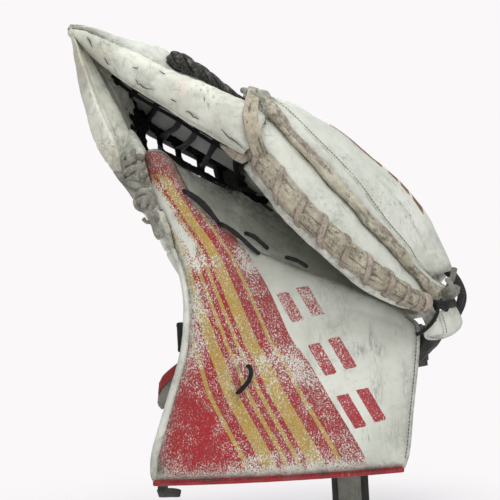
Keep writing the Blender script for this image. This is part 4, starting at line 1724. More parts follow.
def pocket_cover():
    """Runs from the rim's upper crease over the top and down to the web's spine."""
    rows, columns = 150, 90
    crest = spline(COVER_CREST, rows)
    stations = spline(FINGER_RIM, rows, 0.0, 0.97)
    rim, half = stations[:, :3], stations[:, 3:]
    spine = spline(SPINE[:9], rows, 0.05, 0.97) + FOLD_UP * 5.5 + BACK * 9.5
    start = rim + FOLD_UP * half * 0.96 + BACK * half * 0.30
    sunk = clamp((np.arange(rows)[:, None] / rows - 0.42) / 0.15)
    rise = np.minimum(3.0, 0.08 * np.linalg.norm(crest - start, axis=1, keepdims=True))
    face = loft([rim + FOLD_UP * half * 0.55 + BACK * half * 0.42, start,
                 (start + crest) / 2 + FOLD_UP * (rise * (1 - sunk) - 3.5 * sunk)
                 - BACK * (1.5 - 1.5 * sunk), crest,
                 crest * 0.72 + spine * 0.28 + FOLD_UP * 6.2 + BACK * 8.2,
                 crest * 0.36 + spine * 0.64 + FOLD_UP * 8.0 + BACK * 9.0, spine], columns)
    smooth_rows(face, 2)
    t, v = grid_steps(rows, columns)
    relief = 1.0 * fractal(face * [0.8, 1, 0.8], 26, 3, 81) + 0.3 * fractal(face, 8, 2, 82)
    for seam in COVER_SEAMS:
        relief = relief - 1.2 * bump(v, seam, 0.012)
    for place in (0.3, 0.52, 0.74):
        relief = relief - (1.1 * bump(t, place + 0.02 * np.sin(v * 6), 0.008)
                           * clamp((v - 0.45) * 6))
    dirt = clamp(0.8 * bump(v, 0.05, 0.09) + sum(0.5 * bump(v, s, 0.02) for s in COVER_SEAMS)
                 + 0.5 * bump(v, 1, 0.05) + 0.6 * bump(t, 1.0, 0.06))
    shape = panel(face, 3.6, FOLD_UP, relief=relief * clamp(t * 7, 0.1, 1), edge_steps=6,
                  dirt=dirt)
    add("pocket_cover_leather", shape, "shell", COVER_BLEND, "pocket_cover")

    normals = upward_normals(face, rows // 2, columns // 2)
    parts = []
    for seam in COVER_SEAMS:
        j = int(seam * (columns - 1))
        for offset in (-3, 3):
            parts.append(stitches((face + normals * 0.7)[10:-8, j + offset], 3.2, 2.1, 0.36,
                                  up=normals[rows // 2, j]))
    add("pocket_cover_stitches", join(parts), "dark_thread", COVER_BLEND)

    lining = (face - normals * 5.0)[6:-4:2, 14:-2:2]
    shape = panel(lining, 1.8, -FOLD_UP, relief=0.5 * fractal(lining, 10, 2, 4) - 0.3,
                  edge_steps=4)
    shape.soil(0.3 + 0.6 * fractal(shape.points, 20, 2, 6))
    add("pocket_lining_sheet", shape, "mesh", COVER_BLEND, "pocket_cover_lining")


def cover_lacing():
    stations = spline(COVER_LACING, 200)
    path, radius = stations[:, :3], stations[:, 3]
    distance = lengths(path)

    def lumps(pts, along, angle):
        return 0.7 * np.sin(along * 0.30 - angle) + 0.35 * fractal(pts, 7, 2, 91)

    core = sweep(path, radius * 0.84, radius * 0.70, up=FOLD_UP, segments=52, relief=lumps)
    add("cover_lacing_core", core, "old_lace", "fingers", "cover_lacing")
    places, share = [0, 0.12, 0.5, 1], distance / distance[-1]
    parts = []
    for phase in (0.0, 1.57, 3.14, 4.71):
        angle = distance * 0.115 + phase + 0.5 * noise(path, 24, int(phase * 10))
        parts.append(strand(path, angle, radius * 0.80,
                            np.interp(share, places, [1.0, 1.9, 1.4, 0.9]),
                            np.interp(share, places, [2.0, 3.6, 2.3, 1.2]), 18,
                            relief=grain(0.12, 5.0, 3)))
    add("cover_lacing_strands", join(parts), "old_lace", "fingers")


# ------------------------------------------------------------ pocket laces
# spine of the web, where the laces meet: (x, y, z)
WEB_SPINE = [
    (-112.8, 86, 321.4), (-109.4, 88, 316.3), (-103.9, 92, 308.8), (-98.2, 95, 301.7),
    (-92.1, 98, 293.6), (-85.3, 101, 288.2), (-78.2, 103, 284.1), (-70, 106, 279.2),
    (-60.8, 108, 274.4), (-53.7, 110, 270), (-46.6, 111, 265.8), (-38.1, 112, 259.9),
    (-29.1, 112, 254.6)]
# laces from the rim to the spine
UPPER_LACES = [
    [(-96.5, 38, 319.4), (-101.2, 58, 316.6), (-106.8, 78, 315.3), (-106.1, 88, 309.4)],
    [(-79.3, 22, 308.2), (-83.4, 48, 302.5), (-90.1, 76, 298.4), (-95, 94, 296.7)],
    [(-60.5, 14, 295.3), (-66, 40, 287.1), (-75, 74, 284.2), (-83.1, 99, 281.2)],
    [(-48.2, 10, 284.8), (-54.1, 42, 276.8), (-62.5, 78, 272.9), (-68.8, 105, 271.4)],
    [(-32.9, 8, 273.5), (-40.6, 44, 264), (-47.3, 80, 256.3), (-50.5, 108, 255.3)],
    [(-18.9, 8, 263.2), (-20.1, 40, 252.1), (-19.1, 70, 244.4), (-15.5, 95, 237.6)],
    [(-111.9, 46, 329.2), (-115, 62, 325.1), (-114, 80, 321.7)]]
# grey mesh wall behind those laces
MESH_WALL = [
    [(-118.2, 50, 339.7), (-106.6, 42, 331.7), (-96.1, 36, 323.3), (-80.7, 28, 312),
     (-61.7, 22, 300), (-49.3, 18, 289.4), (-33.8, 16, 278.8), (-15.8, 15, 268.2)],
    [(-117.2, 62, 329.4), (-105.8, 58, 321.8), (-94.7, 56, 313.6), (-79.6, 54, 302.7),
     (-63, 52, 291), (-50.8, 50, 279.6), (-36.5, 48, 267.2), (-18.3, 46, 256.3)],
    [(-116.5, 80, 322.7), (-105.6, 84, 314.1), (-94.6, 86, 303.6), (-79.4, 88, 292),
     (-64.2, 90, 281.3), (-52.9, 92, 273.2), (-40.1, 94, 263.3), (-20.7, 92, 249.5)],
    [(-115.2, 94, 319.7), (-105.1, 97, 308.4), (-94.2, 102, 297.2), (-79.8, 106, 286.5),
     (-62.7, 110, 276.5), (-49.6, 113, 268.3), (-33.2, 115, 258.1), (-17.6, 114, 246.9)]]
# dark wall at the right end of the pocket
END_WALL = [
    [(-38.9, 116, 263.6), (-27.3, 115, 256), (-14.2, 114, 246.7), (0.4, 112, 233.9),
     (11.6, 110, 221.3)],
    [(-39.2, 112, 256.6), (-27.7, 111, 247.4), (-14.6, 110, 238.1), (0, 109, 227),
     (9.7, 108, 218)],
    [(-37.8, 106, 247.7), (-26.5, 105, 238.6), (-13.3, 105, 231.1), (-0.2, 106, 222.7),
     (7.8, 106, 215.5)],
    [(-34.9, 101, 237.2), (-23.4, 101, 231.5), (-11.9, 102, 226.7), (-2.1, 104, 220.2),
     (6, 105, 213)]]
# double line of lace that runs under the rim
RUNNING_LACES = [
    [(-115.4, 42, 333.8), (-106.5, 36, 326.3), (-96.1, 30, 317.1), (-80.7, 22, 305.9),
     (-61.8, 16, 293.6), (-49.5, 12, 283.4), (-34, 10, 272.9), (-19.2, 9, 264.1)],
    [(-116.8, 48, 331.3), (-108.1, 44, 322.2), (-97.6, 38, 313.4), (-82.5, 31, 302.7),
     (-63.6, 24, 290.2), (-51.1, 20, 280.5), (-36.5, 18, 269.9), (-22.6, 18, 261.6)]]
# binding along the lower edge of the pocket
LOWER_BINDING = [
    (-112.5, 34, 287.7), (-107.9, 40, 277.3), (-103, 46, 270.9), (-97.6, 54, 268.5),
    (-88.6, 62, 267.7), (-78.7, 70, 266.3), (-66.3, 80, 259.2), (-50.3, 88, 250.2),
    (-39.5, 93, 243.1), (-28.7, 97, 236.9), (-12.6, 99, 229.1), (3.2, 100, 224.1)]
# crossing laces in the left corner of the pocket
CORNER_LACES = [
    [(-112.1, 70, 313.3), (-107.7, 72, 306.6), (-102.3, 74, 300.6), (-97, 76, 294.7),
     (-92.3, 76, 288.6)],
    [(-113.4, 60, 305.9), (-107.4, 62, 298.4), (-101.3, 64, 291.6), (-96, 66, 285.6)],
    [(-113.9, 48, 296.8), (-107.9, 50, 290.1), (-102.8, 54, 283.6), (-97.7, 60, 277.9)],
    [(-110.6, 74, 316), (-109.8, 66, 304.6), (-108.3, 58, 292.4), (-106, 50, 280.2)],
    [(-104.5, 80, 312.9), (-103.8, 72, 301.4), (-102.4, 66, 289.3), (-100.1, 58, 277.1)],
    [(-98.7, 86, 303.8), (-97.3, 80, 293.3), (-96.5, 72, 284.4), (-97.3, 62, 273.9)]]
# laces from the spine down to the lower binding
LOWER_LACES = [
    [(-105.3, 88, 308.6), (-105, 74, 296.6), (-105.5, 58, 284), (-105.9, 44, 273.3)],
    [(-95.8, 94, 297.6), (-96.3, 86, 287.8), (-95.6, 72, 277.7), (-94.9, 60, 269.6)],
    [(-82.6, 101, 285.1), (-83, 94, 279.2), (-82.4, 84, 272.7), (-81.6, 70, 267.7)],
    [(-68.4, 106, 277.4), (-68.5, 100, 272), (-68, 92, 266.5), (-67.4, 80, 260.8)],
    [(-50.4, 110, 267.3), (-51, 104, 261.9), (-50.8, 97, 256.5), (-50.3, 89, 251.1)],
    [(-34, 112, 257.1), (-34.2, 108, 251.9), (-34, 102, 246.5), (-33.8, 95, 240.3)]]
POCKET_BLEND = ("web", "fingers", fold_point(60, 4, 100), fold_point(60, 26, 90))
RUNNING_BLEND = ("web", "fingers", fold_point(168, -2, 60), fold_point(95, 8, 50))
BINDING_BLEND = ("cuff", "web", fold_point(60, -24, 80), fold_point(60, -9, 90))
LOWER_POCKET_BLEND = ("cuff", "web", fold_point(60, -24, 80), fold_point(60, -6, 90))


def upper_pocket():
    parts = [lace(line, 2.7, 1.2, up=unit(FRONT - FOLD_UP * 0.4), twist=0.35 * (-1) ** i,
                  seed=i * 7, widths=(1.35, 1.0, 0.85, 1.0, 1.5))
             for i, line in enumerate(UPPER_LACES)]
    add("pocket_laces_finger_side", join(parts), "net", POCKET_BLEND, "net_upper")
    add("pocket_mesh_wall", sheet(MESH_WALL, 150, 60, 1.6, depth=0.5, size=14, octaves=3,
                                  seed=44, dirt=(0.3, 0.5, 18, 6)),
        "mesh", POCKET_BLEND)
    add("pocket_end_wall", sheet(END_WALL, 60, 30, 1.8, depth=0.4, size=12, seed=46).soil(0.5),
        "dark_mesh", "web")
    parts = [lace(line, 1.5, 0.8, up=unit(FRONT - FOLD_UP * 0.5), count=160, seed=50 + i)
             for i, line in enumerate(RUNNING_LACES)]
    add("rim_running_laces", join(parts), "net", RUNNING_BLEND)


def web_spine():
    path = spline(WEB_SPINE, 200)
    distance = lengths(path)
    parts = [sweep(path, 2.7, 2.2, up=FOLD_UP,
                   relief=lambda pts, along, angle: (0.25 * np.sin(along * 0.9 + angle * 2)
                                                     + 0.25 * noise(pts, 4, 4)))]
    for phase in (0, 2.09, 4.19):
        parts.append(strand(path, distance * 0.17 + phase, 2.4, 0.95, 2.2, 14,
                            relief=grain(0.12, 2, 3)))
    # rings wound round the spine
    tangent, above, side = frames(path, FOLD_UP)
    angle = np.linspace(0, 2.2 * np.pi, 90)[:, None]
    for place in (0.30, 0.56, 0.80):
        k = int(place * 199)
        ring = (path[k] + above[k] * np.cos(angle) * 4.3 + side[k] * np.sin(angle) * 3.7
                + tangent[k] * np.linspace(-1.4, 1.4, 90)[:, None])
        parts.append(sweep(ring, 1.0, 2.0, up=tangent[k], segments=12))
    add("web_spine_lacing", join(parts), "net", "web", "web_spine")


def pocket_lower_binding():
    path = spline(LOWER_BINDING, 200)
    distance = lengths(path)
    parts = [sweep(path, 2.9, 2.5, up=FOLD_UP, segments=22,
                   relief=lambda pts, along, angle: (0.2 * np.sin(along * 1.0 + angle)
                                                     + 0.2 * noise(pts, 4, 4)))]
    for phase in (0, 3.14):
        parts.append(strand(path, distance * 0.24 + phase, 2.1, 0.95, 1.7, 12))
    add("pocket_lower_binding", join(parts), "net", BINDING_BLEND, "net_lower_binding")


def lower_pocket():
    parts = [lace(line, 2.9, 1.7, up=unit([0.25, -1, 0.2]), seed=130 + i,
                  knots=(0.1, 0.5, 0.9), twist=0.5 * (-1) ** i, count=60)
             for i, line in enumerate(CORNER_LACES)]
    add("web_corner_lacing", join(parts), "net", LOWER_POCKET_BLEND)
    top = spline(WEB_SPINE, 60) + BACK * 4.0
    near_top = spline(top, 50)
    low = spline(LOWER_BINDING, 200)[::4] + BACK * 3.5
    lines = [top, near_top * 0.80 + low * 0.20 + BACK * 2.0,
             near_top * 0.62 + low * 0.38 + BACK * 2.5]
    add("pocket_lower_mesh", sheet(lines, 90, 24, 1.5, depth=0.4, size=12, seed=48,
                                   dirt=(0.3, 0.5, 15, 7)),
        "pale_mesh", LOWER_POCKET_BLEND)
    parts = [lace(line, 2.7, 1.4, up=FRONT, seed=90 + i, knots=(0.06,),
                  twist=0.3 * (-1) ** i, widths=(1.4, 1.0, 0.85, 1.0, 1.5))
             for i, line in enumerate(LOWER_LACES)]
    add("pocket_laces_thumb_side", join(parts), "net", LOWER_POCKET_BLEND, "net_lower")


# ------------------------------------------------------------------ thumb ties
# ribbons are (points, half-width, half-thickness, seed), with options after them
def ribbons(table):
    return join([ribbon(*entry[:4], **(entry[4] if len(entry) > 4 else {}))
                 for entry in table])


# straps that tie the thumb tip to the rim
TIE_WRAPS = [
    ([(-91.7, 24, 260.2), (-96.1, 6, 261.9), (-102.9, -1, 259.5), (-105.8, 4, 255.2),
      (-103.9, 20, 252.6)], 2.7, 1.1, 1),
    ([(-91.3, 26, 254.6), (-94.1, 6, 254.6), (-102.5, -1, 252.4), (-106.9, 3, 248.1),
      (-105.7, 18, 245.5)], 2.6, 1.1, 2),
    ([(-90.9, 24, 245.7), (-93, 7, 246.7), (-100.6, 1, 246.1), (-106.5, 4, 242.6),
      (-105.2, 16, 239)], 2.7, 1.1, 3),
    ([(-113.3, 14, 248.1), (-107.2, 3, 243.4), (-100.8, -1, 239.7), (-94.7, 1, 239.4),
      (-89.6, 10, 240.3)], 2.4, 1.0, 4),
    ([(-115.8, 20, 253.3), (-111.1, 10, 247), (-105.1, 3, 238.5), (-101, 1, 231.9),
      (-98, 4, 226.3)], 3.0, 1.1, 5),
    ([(-101.1, 16, 268.2), (-100.1, 6, 261.3), (-98.7, 2, 253.1), (-97.5, 1, 244.3),
      (-96.4, 0, 235.6)], 2.2, 1.0, 16)]
TIE_KNOT = [
    ([(-99.3, 5, 231.1), (-96.5, 0, 233.6), (-91.6, -3, 234), (-87, -3, 231),
      (-86.2, -2, 226.3), (-88.4, -2, 221.7), (-93.2, -1, 220.4), (-98.4, 1, 222.7),
      (-99.8, 3, 227.2)], 3.1, 2.2, 6, dict(power=2.2)),
    ([(-100.4, 4, 225.6), (-95.8, -4, 227.5), (-91, -6, 228), (-86.7, -2, 223.9)], 2.6, 1.2, 7),
    ([(-95.8, 2, 219.8), (-93.6, -5, 224.2), (-90.1, -5, 229.5), (-88.5, 0, 235.1)],
     2.4, 1.2, 8),
    ([(-93.2, -1, 221.2), (-90.2, -3, 217), (-87.3, -2, 213.7), (-83.6, 1, 211.2)],
     2.3, 1.1, 9),
    ([(-88.7, -1, 217), (-88.5, -3, 212.2), (-86.8, -3, 207.4), (-84.4, -1, 202.6)],
     2.1, 1.0, 19),
    ([(-95, 2, 212.7), (-93.1, 0, 210.5), (-90, 0, 209.6), (-86.9, 1, 208.2)], 1.6, 0.9, 10),
    ([(-87.5, 0, 211.4), (-85.7, -1, 206.6), (-83.7, -1, 201.7), (-82.1, 1, 196.9)],
     3.0, 0.9, 11, dict(widths=(0.8, 1, 1.2, 1.35, 1.1)))]
# soft body of the thumb, from the rim down to the board's edge: (x, y, z, half-width)
THUMB_BODY = [
    (-106.2, 32, 282.3, 6.296), (-102.4, 27, 272.2, 8.2635), (-98.7, 23, 262.1, 9.444),
    (-96.5, 21, 250.7, 10.231), (-94.2, 20, 239.3, 9.8375), (-90.8, 19, 227.9, 9.444),
    (-86.9, 18, 218.1, 8.2635), (-83.3, 16, 209.1, 6.296), (-79.7, 14, 200.1, 3.935)]
# white piece between the knot and the board's edge
THUMB_SIDE = [
    [(-87.8, 10, 216.4), (-85, 10, 208.3), (-81.9, 10, 200.9), (-78.7, 11, 195.2),
     (-76.2, 12, 190.3)],
    [(-84.3, 5, 217.6), (-82, 5, 208.8), (-79.3, 6, 200.8), (-76.6, 7, 194.3),
     (-74.5, 9, 189.4)],
    [(-79.6, 5, 216.6), (-77.3, 5, 208.5), (-75.4, 6, 200.5), (-73.9, 8, 193.3),
     (-72.7, 10, 188.5)]]


def thumb_ties():
    add("thumb_tie_wraps", ribbons(TIE_WRAPS).smudge(0.5, 0.6, 7, 3), "tie", "cuff")
    add("thumb_tie_knot", ribbons(TIE_KNOT).smudge(0.45, 0.6, 6, 5), "tie", "cuff",
        "thumb_ties")
    stations = spline(THUMB_BODY, 150)
    half = stations[:, 3]
    shape = sweep(stations, half * 0.62, half, up=FRONT, segments=48,
                  relief=lambda pts, along, angle: (0.5 * fractal(pts, 8, 3, 5)
                                                    - 0.5 * np.abs(noise(pts, 5, 9))))
    shape.smudge(np.interp(shape.points[:, 2], [190, 212, 232, 262], [0.35, 0.8, 0.9, 0.8]),
                 0.3, 6, 2)
    add("thumb_tip_body", shape, "thumb_rim", "cuff")
    shape = sheet(THUMB_SIDE, 50, 24, 3.0, depth=0.4, size=9, seed=3, edge_steps=5)
    add("thumb_side_leather", shape.smudge(0.3, 0.5, 8, 3), "thumb_rim", "cuff")


# tan strap that binds the rim to the finger section: (x, y, z)
RIM_STRAP = [
    (-2.2, 26, 312.3), (-3.8, 10, 304.5), (-5.5, -6, 296.2), (-6.4, -15.5, 286.9),
    (-5.8, -18, 278.1), (-4.2, -16, 270.4), (-2.3, -12, 263.5), (0.2, -6, 257.4),
    (2.2, 2, 251.4), (1.4, 14, 248.1)]
RIM_STRAP_CORE = [(-10, 8, 288), (-6, 8, 272), (-4, 12, 262)]  # the strap faces away from it
RIM_KNOT = [
    ([(-0.6, 8, 298.6), (1.5, 2, 294.1), (3.5, 3, 288.5), (4.8, 9, 282.6)], 1.3, 0.9, 1),
    ([(3.4, 9, 299.3), (4.6, 3, 294), (2.7, 1, 287.6), (0.8, 4, 282.4)], 1.2, 0.9, 2),
    ([(6.4, 10, 296.8), (5.3, 6, 291), (2.6, 4, 285.5), (-0.1, 4, 279.3)], 1.2, 0.8, 3),
    ([(-1.8, 0, 291.7), (2, -1, 289.9), (5.9, 6, 287)], 1.1, 0.8, 4),
    ([(-8, 24, 309.2), (-4.1, 14, 307.3), (0.5, 10, 304.3), (4.3, 12, 301.1)], 2.6, 1.4, 5)]
RIM_TAB = [
    [(-30.9, 6, 267.3), (-23.9, 4, 264.8), (-15.4, 2, 261.1), (-6.9, 1, 256.6)],
    [(-29.5, 5, 264), (-23.3, 3, 260.8), (-16.4, 2, 257.6), (-10.2, 2, 254.5)],
    [(-27.7, 8, 261.3), (-22.7, 6, 257), (-18.2, 5, 253.9), (-15.1, 6, 252.2)]]


def rim_end():
    path = spline(RIM_STRAP, 110)
    half = profile(110, [0, 0.3, 0.6, 0.8, 1], [4.6, 5.6, 6.0, 5.8, 5.0])
    shape = sweep(path, 1.5, half, up=unit(path - spline(RIM_STRAP_CORE, 110)), segments=40,
                  power=3.4, relief=lambda pts, along, angle: (
                      0.35 * noise(pts, 6, 3) + 0.2 * np.abs(noise(pts, 2, 4))))
    add("rim_binding_strap", shape.smudge(0.35, 0.7, 9, 3), "tan", "fingers",
        "rim_wrap_strap")
    add("rim_knot_laces", ribbons(RIM_KNOT).smudge(0.6, 0.5, 5, 3), "tie", "fingers")
    # worn tab under the end of the rim
    shape = sheet(RIM_TAB, 40, 18, 2.4, depth=0.35, size=7, seed=3)
    add("rim_end_tab", shape.smudge(0.35, 0.5, 6, 2), "rawhide", "fingers")


# ------------------------------------------------------------------ heel
HEEL_FLAP = [
    (133.8, 22, 124.9), (140.6, 27, 128.4), (148.8, 34, 130.5), (152.9, 38, 124.9),
    (155.9, 41, 116.5), (153.6, 40, 110.6), (147, 34, 106.3), (138.9, 28, 104),
    (130.1, 21, 103.4), (123.2, 15, 105.2), (121.4, 13, 110.8), (125.7, 16, 118.4)]
HEEL_CREASE = [(133.8, 22, 124.9), (136.8, 24, 115.9), (138, 26, 107.7), (130.2, 20, 106.4),
               (124.3, 16, 108.2)]
HEEL_FACING = unit([0.58, -0.81, 0.05])
HEEL_KNOT = [
    ([(145.7, 48, 142.9), (148.3, 47, 147.7), (151.1, 47, 153.2), (152.8, 48, 159.2)],
     2.4, 1.3, 1),
    ([(141.9, 44, 140), (145.7, 41, 142.3), (150.1, 43, 143.6), (154, 50, 141.6)],
     2.9, 1.7, 2),
    ([(143.2, 44, 135), (147, 40, 137.4), (151.4, 42, 139.5), (154.1, 49, 144.1)],
     2.8, 1.6, 3),
    ([(149.1, 46, 133.8), (149.8, 42, 139.6), (148.5, 42, 146.2), (146.1, 47, 151.1)],
     2.2, 1.4, 4)]
HEEL_GREY = [
    ([(120.8, 14, 133.9), (123.4, 11, 129.1), (126.2, 11, 123.4), (128.6, 13, 118.4)],
     2.6, 1.3, 5),
    ([(125.3, 18, 135.9), (127.6, 13, 130.4), (129.7, 13, 124.7), (130.4, 15, 119)],
     2.4, 1.3, 6),
    ([(117.2, 11, 131.8), (120, 10, 126.9), (123, 11, 122), (125.3, 13, 117)], 2.0, 1.2, 7)]
HEEL_BLACK = [
    ([(128.7, 22, 133.2), (132.8, 16, 132.4), (138.5, 17, 131.2), (144, 24, 131.5),
      (149.2, 34, 131.7)], 3.4, 2.0, 8),
    ([(131.4, 20, 128.4), (135.9, 16, 130.6), (142, 22, 127.7)], 2.4, 1.6, 9)]
HEEL_ROUND = [
    (137.4, 20, 135.2), (134.4, 13, 130.8), (132.9, 11, 125.4), (129.9, 10, 120),
    (126.5, 10, 115.9), (121.2, 11, 111.7), (116.1, 12.5, 109.2)]
HEEL_ELASTIC = [
    (148.6, 66, 158.1), (153.4, 67, 152.8), (157.7, 68, 145.5), (160.1, 69, 137.1),
    (158.9, 69, 130.1), (155.6, 68, 123.8), (152.1, 66, 118.2)]
HEEL_UNDER = [
    [(125.2, 44, 103.1), (132.6, 46, 101.4), (138.8, 50, 101.6)],
    [(123.3, 44, 97.9), (129.9, 46, 96.6), (135.2, 50, 96.9)],
    [(120.6, 45, 92.3), (125.7, 47, 91.9), (131.8, 50, 93.9)],
    [(118.7, 46, 85.9), (121.7, 48, 85.2), (124.9, 50, 87.7)]]


def heel_flap():
    """Closed pad of rings that grow from the middle of its outline."""
    rings, segments, thickness = 26, 120, 4.6
    outline = spline(HEEL_FLAP, segments, closed=True)
    centre = outline.mean(0)
    face = centre + (outline - centre) * np.linspace(0.03, 1, rings)[:, None, None]
    relief = (0.7 * fractal(face, 12, 2, 3)
              - 1.1 * bump(crease_distance(face, HEEL_CREASE, 30), 0, 0.9))
    step = np.linspace(0, 1, rings)
    swell = np.sqrt(clamp(1 - step[:, None, None] ** 6))
    front = face + HEEL_FACING * (thickness / 2 * swell)
    front = front + HEEL_FACING * relief[..., None] * swell
    rear = face - HEEL_FACING * (thickness / 2 * swell)
    points = np.vstack([front.reshape(-1, 3), rear.reshape(-1, 3), front[0].mean(0),
                        rear[0].mean(0)])
    total = rings * segments
    faces = grid_faces(rings, segments, wrap=True)
    faces += [[a + total for a in quad[::-1]] for quad in faces]
    for j in range(segments):
        k = (j + 1) % segments
        faces.append([2 * total, k, j])
        faces.append([2 * total + 1, total + j, total + k])
        faces.append([total - segments + j, total - segments + k,
                      2 * total - segments + k, 2 * total - segments + j])
    edge = np.repeat(np.exp(-(1 - step) * 9), segments)
    shape = Shape(points, faces, edge=np.r_[edge, edge, 0, 0], ul=points[:, 0],
                  vl=points[:, 2])
    shape.smudge(0.15 + 0.8 * bump(crease_distance(points, HEEL_CREASE[:4], 30), 0, 1.1),
                 0.5, 7, 4)
    add("heel_flap_leather", shape, "white", "cuff", "heel_flap")

    parts = []
    for line, lift in (([(135.2, 20, 124.9), (138.1, 22, 115.9), (139.4, 24, 106.9)], 2.6),
                       ([(137.8, 25, 104.6), (129.9, 18, 105), (123.9, 13, 106.9)], 2.7)):
        parts.append(stitches(spline(line, 60) + HEEL_FACING * lift, 2.4, 1.6, 0.33,
                              up=HEEL_FACING))
    add("heel_flap_stitches", join(parts), "dark_thread", "cuff")


def heel_laces():
    add("heel_knot_laces", ribbons(HEEL_KNOT).smudge(0.5, 0.5, 5, 9), "tie", "fingers")
    add("heel_grey_laces", ribbons(HEEL_GREY).smudge(0.7, 0.5, 5, 9), "tie", "fingers")
    add("heel_black_tie", ribbons(HEEL_BLACK), "lace", "fingers")
    add("heel_round_lace", sweep(spline(HEEL_ROUND, 90), 1.45, up=FRONT, segments=16),
        "lace", "cuff", "heel_tie_lace")
    shape = sweep(spline(HEEL_ELASTIC, 110), 1.3, 4.4, up=unit([0.50, -0.85, 0.2]),
                  segments=40, power=4.0, relief=lambda pts, along, angle: (
                      0.12 * np.sin(along * 3.1) * (np.abs(np.cos(angle)) > 0.5)))
    add("heel_elastic_band", shape, "elastic", "fingers", "heel_elastic")
    add("heel_under_strap", sheet(HEEL_UNDER, 30, 30, 2.2, depth=0.2, size=5, seed=3),
        "webbing", "cuff")


# -------------------------------------------------- laces on the cuff's face
CURVED_LACE = [
    (-26.8, 7, 89.8), (-23.2, 3, 92.1), (-18.9, -0.5, 92.5), (-17.1, -3.6, 88.7),
    (-18.2, -4.6, 83.3), (-21.4, -4, 78.4), (-26.2, -1.5, 73.7), (-29.9, 2.4, 71),
    (-32, 6, 69.9)]
TOP_LACES = [
    [(-63.4, 10, 234), (-60.4, 3, 232.1), (-54.3, 1.6, 227.7), (-47.5, 0.6, 221.4),
     (-41.6, -0.2, 214), (-36.9, -0.2, 207.4), (-35.9, 6, 205.9)],
    [(-34.7, 7, 205.7), (-33.1, 0.4, 204.7), (-26.6, -0.4, 200.3), (-18.4, -0.6, 192.9),
     (-11.7, -0.6, 185.9), (-6.8, -0.6, 181.2), (-5.4, 6, 179.7)],
    [(-15.8, 8, 197.2), (-13.8, 1.8, 196.4), (-8.1, 1, 193.3), (-0.3, 0.8, 185.6),
     (1.4, 7, 183.9)],
    [(15.5, 8, 176.3), (17.3, 1.6, 175.7), (23.9, 0.8, 173.2), (29.7, 0.8, 169.4),
     (31.7, 7, 167.9)]]
LONG_LACE_WIDTHS = (0.6, 1.35, 1.55, 1.15, 0.6)
SHORT_LACE_WIDTHS = (0.8, 1, 1.05, 0.95, 1, 0.8)


def cuff_laces():
    shape = sweep(spline(CURVED_LACE, 120), profile(120, [0, 0.3, 0.7, 1], [1.4, 1.75, 1.8, 1.5]),
                  up=FRONT, segments=18, relief=grain(0.12, 1.3, 3))
    add("cuff_curved_lace", shape, "lace", "cuff")
    parts = [ribbon(line, 1.75, 0.95, seed=i, power=2.3, depth=0.08,
                    widths=SHORT_LACE_WIDTHS if i else LONG_LACE_WIDTHS)
             for i, line in enumerate(TOP_LACES)]
    add("cuff_top_laces", join(parts), "lace", "cuff", "cuff_laces")


# fibres that stand out of worn places: name, body, and (start, end, count) of each place
FIBRES = [
    ("palm_worn_fibres", PALM_BLEND, [((-41.1, 86, 242.9), (-18.2, 86, 232.4), 46),
                                      ((-59.2, 84, 246.3), (-39.6, 84, 238.6), 26)]),
    ("roll_worn_fibres", "fingers", [((21.6, 4, 202.2), (36.7, 4, 188.7), 18)]),
    ("cuff_worn_fibres", "cuff", [((-32.3, 1, 85.3), (-26.9, 1, 69.2), 16)])]


def worn_fibres():
    generator = np.random.default_rng(7)

    def draw(means, spreads):
        return np.array([generator.normal(*pair) for pair in zip(means, spreads)])

    for name, body, places in FIBRES:
        parts = []
        for start, end, count in places:
            for _ in range(count):
                share = generator.random()
                root = np.array(start) * (1 - share) + np.array(end) * share
                root = root + draw((0, 0, 0), (1.2, 1.0, 1.0))
                first = draw((0, -0.6, -1.6), (2.4, 0.8, 2.0))
                second = draw((0, -0.3, -0.8), (1.6, 0.8, 1.6))
                path = spline([root, root + first, root + first + second], 6)
                parts.append(sweep(path, 0.15, up=(0.1, -1, 0.1), segments=5, cap_rings=1))
        add(name, join(parts), "fibre", body)


# ------------------------------------------------- thumb stall and hand pads
THUMB_STALL = [(-34, 45, 146), (-49, 44, 170), (-61, 40.6, 191), (-69, 37, 209), (-74, 34.6, 222)]
THUMB_PAD_FACING = unit([-0.60, 0.75, -0.40])
THUMB_PAD_RADIUS = 19.8


def thumb_stall():
    path = spline(THUMB_STALL, 80)
    radii = profile(80, [0, 0.25, 0.5, 0.75, 0.9, 1], [14.2, 14.0, 13.5, 12.5, 11.2, 9.2])
    shape = sleeve(path, radii, 1.9, up=(0, 1, 0.2), segments=44,
                   relief=lambda pts: 0.5 * fractal(pts, 12, 2, 3))
    add("thumb_stall_sleeve", shape, "lining", "cuff", "thumb_stall")

    rows, columns = 76, 60
    _, above, side = (axis[2:2 + rows, None] for axis in frames(path, THUMB_PAD_FACING))
    angle = np.linspace(-1.42, 1.42, columns)[None, :, None]
    taper = np.interp(np.arange(rows) / rows, [0, 0.5, 0.8, 1], [1.0, 1.0, 0.96, 0.88])
    face = (path[2:2 + rows, None] + [-1, 1, -1]
            + (above * np.cos(angle) + side * np.sin(angle))
            * THUMB_PAD_RADIUS * taper[:, None, None])
    u = np.linspace(0, 1, rows)[:, None]
    v = np.linspace(-1, 1, columns)[None]
    relief = (-2.6 * (np.exp(-(1 - np.abs(v)) * 9) + np.exp(-np.minimum(u, 1 - u) * 18))
              + 0.5 * fractal(face, 12, 2, 5))
    grooves = (0.33, 0.66)
    for place in grooves:
        relief = relief - 1.9 * bump(u, place, 0.014)
    dirt = clamp(sum(0.6 * bump(u, place, 0.02) for place in grooves))
    shape = panel(face, 4.2, THUMB_PAD_FACING, relief=relief * 0.8, edge_steps=6, bulge=0.6,
                  dirt=dirt)
    add("thumb_back_padding", shape, "white", "cuff", "thumb_back_pad")


